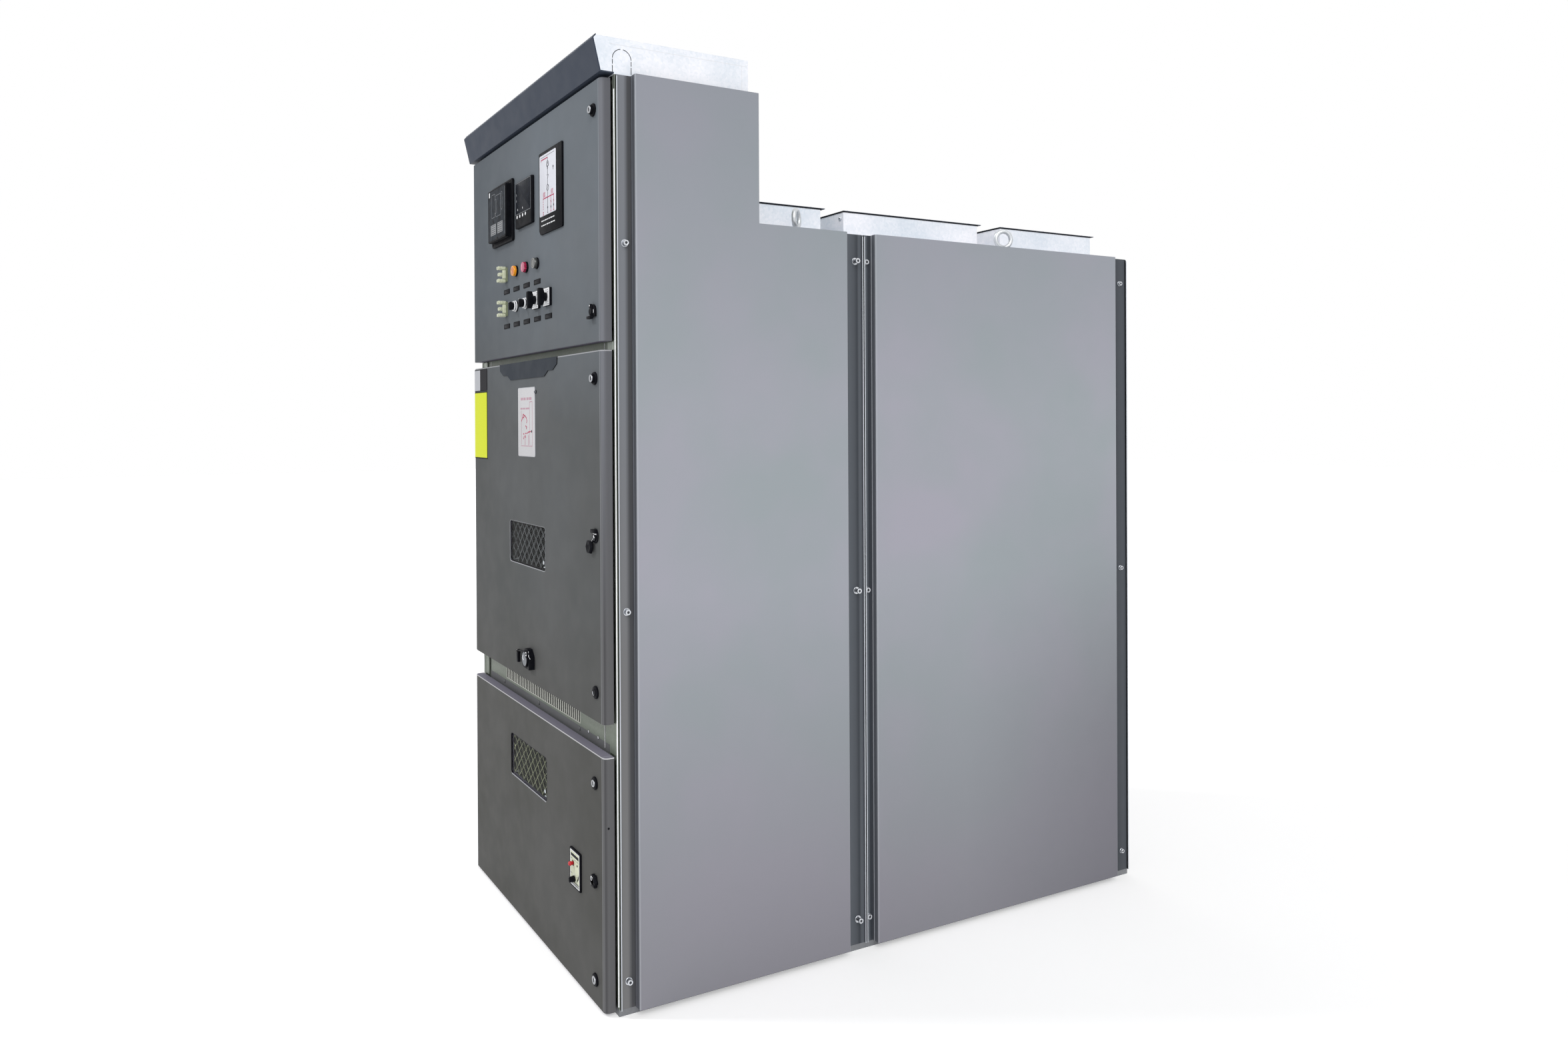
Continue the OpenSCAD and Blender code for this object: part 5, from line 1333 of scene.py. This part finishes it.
duct = {"places": [(-445, -208), (-135, 328), (414, 777)], "sealProud": 1.5, "sealWidth": 3,
        "sealLow": 1905.8, "sealHigh": 1908.4, "screwIn": 14, "screwDown": 17, "lidScrewIn": 12,
        "lidScrewEnd": 22, "lidScrewPitch": 110}
ductHalf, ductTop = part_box("relief_ducts")[1].x / mm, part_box("relief_ducts")[1].z / mm
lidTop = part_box("relief_lids")[1].z / mm

half, proud, wide = ductHalf + duct["sealProud"], duct["sealProud"], duct["sealWidth"]
bm = bmesh.new()
for y0, y1 in duct["places"]:
    y0, y1 = y0 - proud, y1 + proud
    for left, right, near, far in ((-half, half, y0, y0 + wide), (-half, half, y1 - wide, y1),
                                   (half - wide, half, y0 + wide, y1 - wide),
                                   (-half, wide - half, y0 + wide, y1 - wide)):
        extrusion(bm, [(left, near), (right, near), (right, far), (left, far)], duct["sealLow"],
                  duct["sealHigh"])
addPiece("lid_seals", bm, [sealRubber], "cabinet", "slate_paint")
print("ledge, seals and post noses made")


# Roof box: pressed knock-outs, folded lid line and end flange

roofBox = {"archY": -810.8, "archZ": 2180, "archWidth": 47, "legs": 31, "lidLine": 2213, "endY": -479,
           "line": 1.5, "fold": 0.9}

for sideName, sign in bothSides:
    bm, at = begin(sideName, sign * halfWidth, roofBox["archY"], roofBox["archZ"])
    r = roofBox["archWidth"] / 2
    for first in (4, 98):
        spots = arc(r, range(first, first + 79, 6))
        strips(bm, zip(spots, spots[1:]), roofBox["line"], -0.2, 0.25, at)
    for u in (-r, r):
        strips(bm, [((u, -1), (u, -12)), ((u, -15), (u, -roofBox["legs"]))], roofBox["line"], -0.2, 0.25, at)
    end, lid = sign * (roofBox["endY"] - roofBox["archY"]), roofBox["lidLine"] - roofBox["archZ"]
    # painted highlights: white lines on the folds of the lid and of the end flange
    strips(bm, [((-30 * sign, lid), (end, lid)), ((end - 14 * sign, lid - 62), (end - 14 * sign, lid))],
           roofBox["fold"], -0.2, 0.15, at, 1)
    addPiece("roof_box_knockout_" + sideName, bm, [darkFilm, whiteFilm], "cabinet", "galvanised")
print("roof details made")


# Screws on the side panels: dome heads with a hexagon socket

# each column: its place, its three heights, washer and head radius, and how far the head stands off;
# panel is the sheet's thickness, and each screw is turned another way
panelScrew = {"neck": 4.5, "socket": 6.4, "panel": 2,
              "columns": [(-807, (1763, 922, 78), 9, 6.6, 10), (-162, (1763, 922, 80), 9.2, 6.8, 15),
                          (-128, (1763, 921, 80), 8, 6.6, 7), (803, (1759, 916, 74), 7.3, 6, 7)]}

for sideName, sign in bothSides:
    for i, (y, heights, washer, head, top) in enumerate(panelScrew["columns"]):
        bm = bmesh.new()
        for z in heights:
            at = facing(sideName, sign * (halfWidth + panelScrew["panel"]), y, z, 17 * i + z)
            hole = hexagon(panelScrew["socket"])
            loft(bm, disc(washer, 24), [(0, 0), (0, 1.2), (0.5, 1.7), (4, 1.7)], at)
            # painted shade: the neck and the socket's floor are in dark steel
            loft(bm, disc(panelScrew["neck"], 24), [(0, 1.6), (0, top - 4)], at, 1)
            loft(bm, disc(head, 24), [(1, top - 5), (0, top - 4.4), (0, top - 0.8), (0.6, top), (1.4, top),
                                      (0, top - 0.4, hole), (0, top - 3, hole)], at)
            loft(bm, hole, [(0.05, top - 2.6), (0.05, top - 1)], at, 1)
        addPiece(f"panel_screws_{sideName}_{i + 1}", bm, [screwZinc, darkSteel], "cabinet", "galvanised")


# Screws round the relief ducts and on their lids

def smallScrew(bm, at, head=5):
    # Pan head with a cross recess on a thin washer; the recess is a dark cross, painted shade
    loft(bm, disc(head + 2, 20), [(0, 0), (0, 0.7), (0.4, 1)], at)
    loft(bm, disc(head, 20), [(0, 0.9), (0.2, 2.2), (1.2, 3.2), (2.4, 3.5)], at)
    strips(bm, zip(arc(head * 0.45, (180, 270)), arc(head * 0.45, (0, 90))), 0.9, 3.3, 3.62, at, 1)


bm = bmesh.new()
for y0, y1 in duct["places"]:
    for x in (-ductHalf + duct["screwIn"], ductHalf - duct["screwIn"]):
        smallScrew(bm, facing("front", x, y0, ductTop - duct["screwDown"]))
        smallScrew(bm, facing("back", x, y1, ductTop - duct["screwDown"]))
addPiece("duct_screws", bm, [screwZinc, darkFilm], "cabinet", "galvanised")

bm = bmesh.new()
for y0, y1 in duct["places"]:
    count, end = max(2, round((y1 - y0) / duct["lidScrewPitch"])), duct["lidScrewEnd"]
    for i in range(count):
        y = y0 + end + (y1 - y0 - 2 * end) * i / (count - 1)
        for x in (-ductHalf + duct["lidScrewIn"], ductHalf - duct["lidScrewIn"]):
            smallScrew(bm, facing("top", x, y, lidTop), 4)
addPiece("lid_screws", bm, [screwZinc, darkFilm], "cabinet", "galvanised")


# Hexagon bolts on the rear covers and the roof plates

bolt = {"across": 13, "coverBack": 820, "covers": [(20, 977), (983, 1826)], "sideX": 486, "perSide": 6,
        "sideEnd": 30, "rowIn": 14, "coverX": (-320, -160, 0, 160, 320), "roofZ": 1832,
        "roofX": (-470, -235, 0, 235, 470), "roofY": (-194, 371), "cornerY": -446}


def boltHead(bm, at):
    # Hexagon head with its chamfer on a plain washer
    loft(bm, disc(bolt["across"] * 0.92, 24), [(0, 0), (0, 1.2), (0.5, 1.6)], at)
    loft(bm, hexagon(bolt["across"]), [(0, 1.5), (0, 6), (0.5, 6.8), (1.8, 7)], at)


bm = bmesh.new()
back, count, end, rowIn = (bolt[key] for key in ("coverBack", "perSide", "sideEnd", "rowIn"))
for z0, z1 in bolt["covers"]:
    for x in (-bolt["sideX"], bolt["sideX"]):
        for i in range(count):
            z = z0 + end + (z1 - z0 - 2 * end) * i / (count - 1)
            boltHead(bm, facing("back", x, back, z, 11 * i))     # no two heads stand quite alike
    for z in (z0 + rowIn, z1 - rowIn):
        for x in bolt["coverX"]:
            boltHead(bm, facing("back", x, back, z, 7 * x))
addPiece("rear_cover_bolts", bm, [screwZinc], "cabinet", "galvanised")

bm = bmesh.new()
for x in bolt["roofX"]:
    boltHead(bm, facing("top", x, bolt["roofY"][0], bolt["roofZ"], x))
    if abs(x) == max(bolt["roofX"]):
        boltHead(bm, facing("top", x, bolt["cornerY"], bolt["roofZ"], x + 9))
    else:
        boltHead(bm, facing("top", x, bolt["roofY"][1], bolt["roofZ"], x))
addPiece("roof_bolts", bm, [screwZinc], "cabinet", "galvanised")
print("screws made")


# Lifting eyes: forged ring on a collar and washer

eye = {"ring": 22.4, "bar": 6, "ringUp": 29, "base": 1832, "places": [(480, -325, -50), (480, 366, 72)]}

bm = bmesh.new()
for sign in (1, -1):
    for x, y, turn in eye["places"]:
        at = facing("top", sign * x, y, eye["base"], sign * turn)
        loft(bm, disc(13), [(0, 0), (0, 1.8), (0.6, 2.4)], at)
        loft(bm, disc(10), [(0, 2.2), (0, 5.6), (1.6, 7), (4, 9.5)], at)
        upright = (at @ Matrix.Translation((0, 0, eye["ringUp"] * mm))
                   @ Matrix.Rotation(math.radians(90), 4, "X"))
        tube(bm, arc(eye["ring"], range(0, 360, 10), 0, 0, 0), eye["bar"], upright, 0, 14, loop=True)
addPiece("lifting_eye_set", bm, [castZinc], "cabinet", "galvanised", "lifting_eyes")
print("lifting eyes made")


# Behind the doors: gaskets, and the terminal rows on the mounting plate

gasket = {"inset": 14, "width": 12, "low": -7.4, "high": -2.2,
          "heights": {"upper_door": (1540, 2138), "middle_door": (666, 1520), "lower_door": (8, 591)}}
for body, (z0, z1) in gasket["heights"].items():
    bm, at = begin("front", (doorLeft + doorRight) / 2, doorFace, (z0 + z1) / 2)
    w, h = doorRight - doorLeft - 2 * gasket["inset"], z1 - z0 - 2 * gasket["inset"]
    outline(bm, slab(w, h, 10), gasket["width"], gasket["high"], gasket["low"], at)
    addPiece(body + "_gasket", bm, [sealRubber], body, "black_plastic")

terminals = {"rowZ": (1728, 1928), "left": -340, "count": 46, "pitch": 8, "plateFace": -494, "earthEvery": 12}
first, count, pitch = terminals["left"], terminals["count"], terminals["pitch"]
for row, z in enumerate(terminals["rowZ"]):
    bm, at = begin("front", 0, terminals["plateFace"], z)
    for i in range(count):
        u, earth = first + i * pitch, i % terminals["earthEvery"] == terminals["earthEvery"] - 1
        block(bm, pitch - 0.6, 50, 0.4, 34, at, 1 if earth else 0, (u, 0), 0.8, 0.8)
        for v in (-17, 17):
            loft(bm, disc(2.4, 12), [(0, 33), (0, 35)], at, 2, (u, v))
    for u in (first - 10, first + count * pitch + 2):
        block(bm, 9, 54, 0.4, 40, at, 3, (u, 0), 1, 1)
    addPiece(f"terminal_row_{row + 1}", bm, [greyPlastic, greenPlastic, screwZinc, creamPlastic], "cabinet",
             "cream_plastic")
print("inner fittings made")
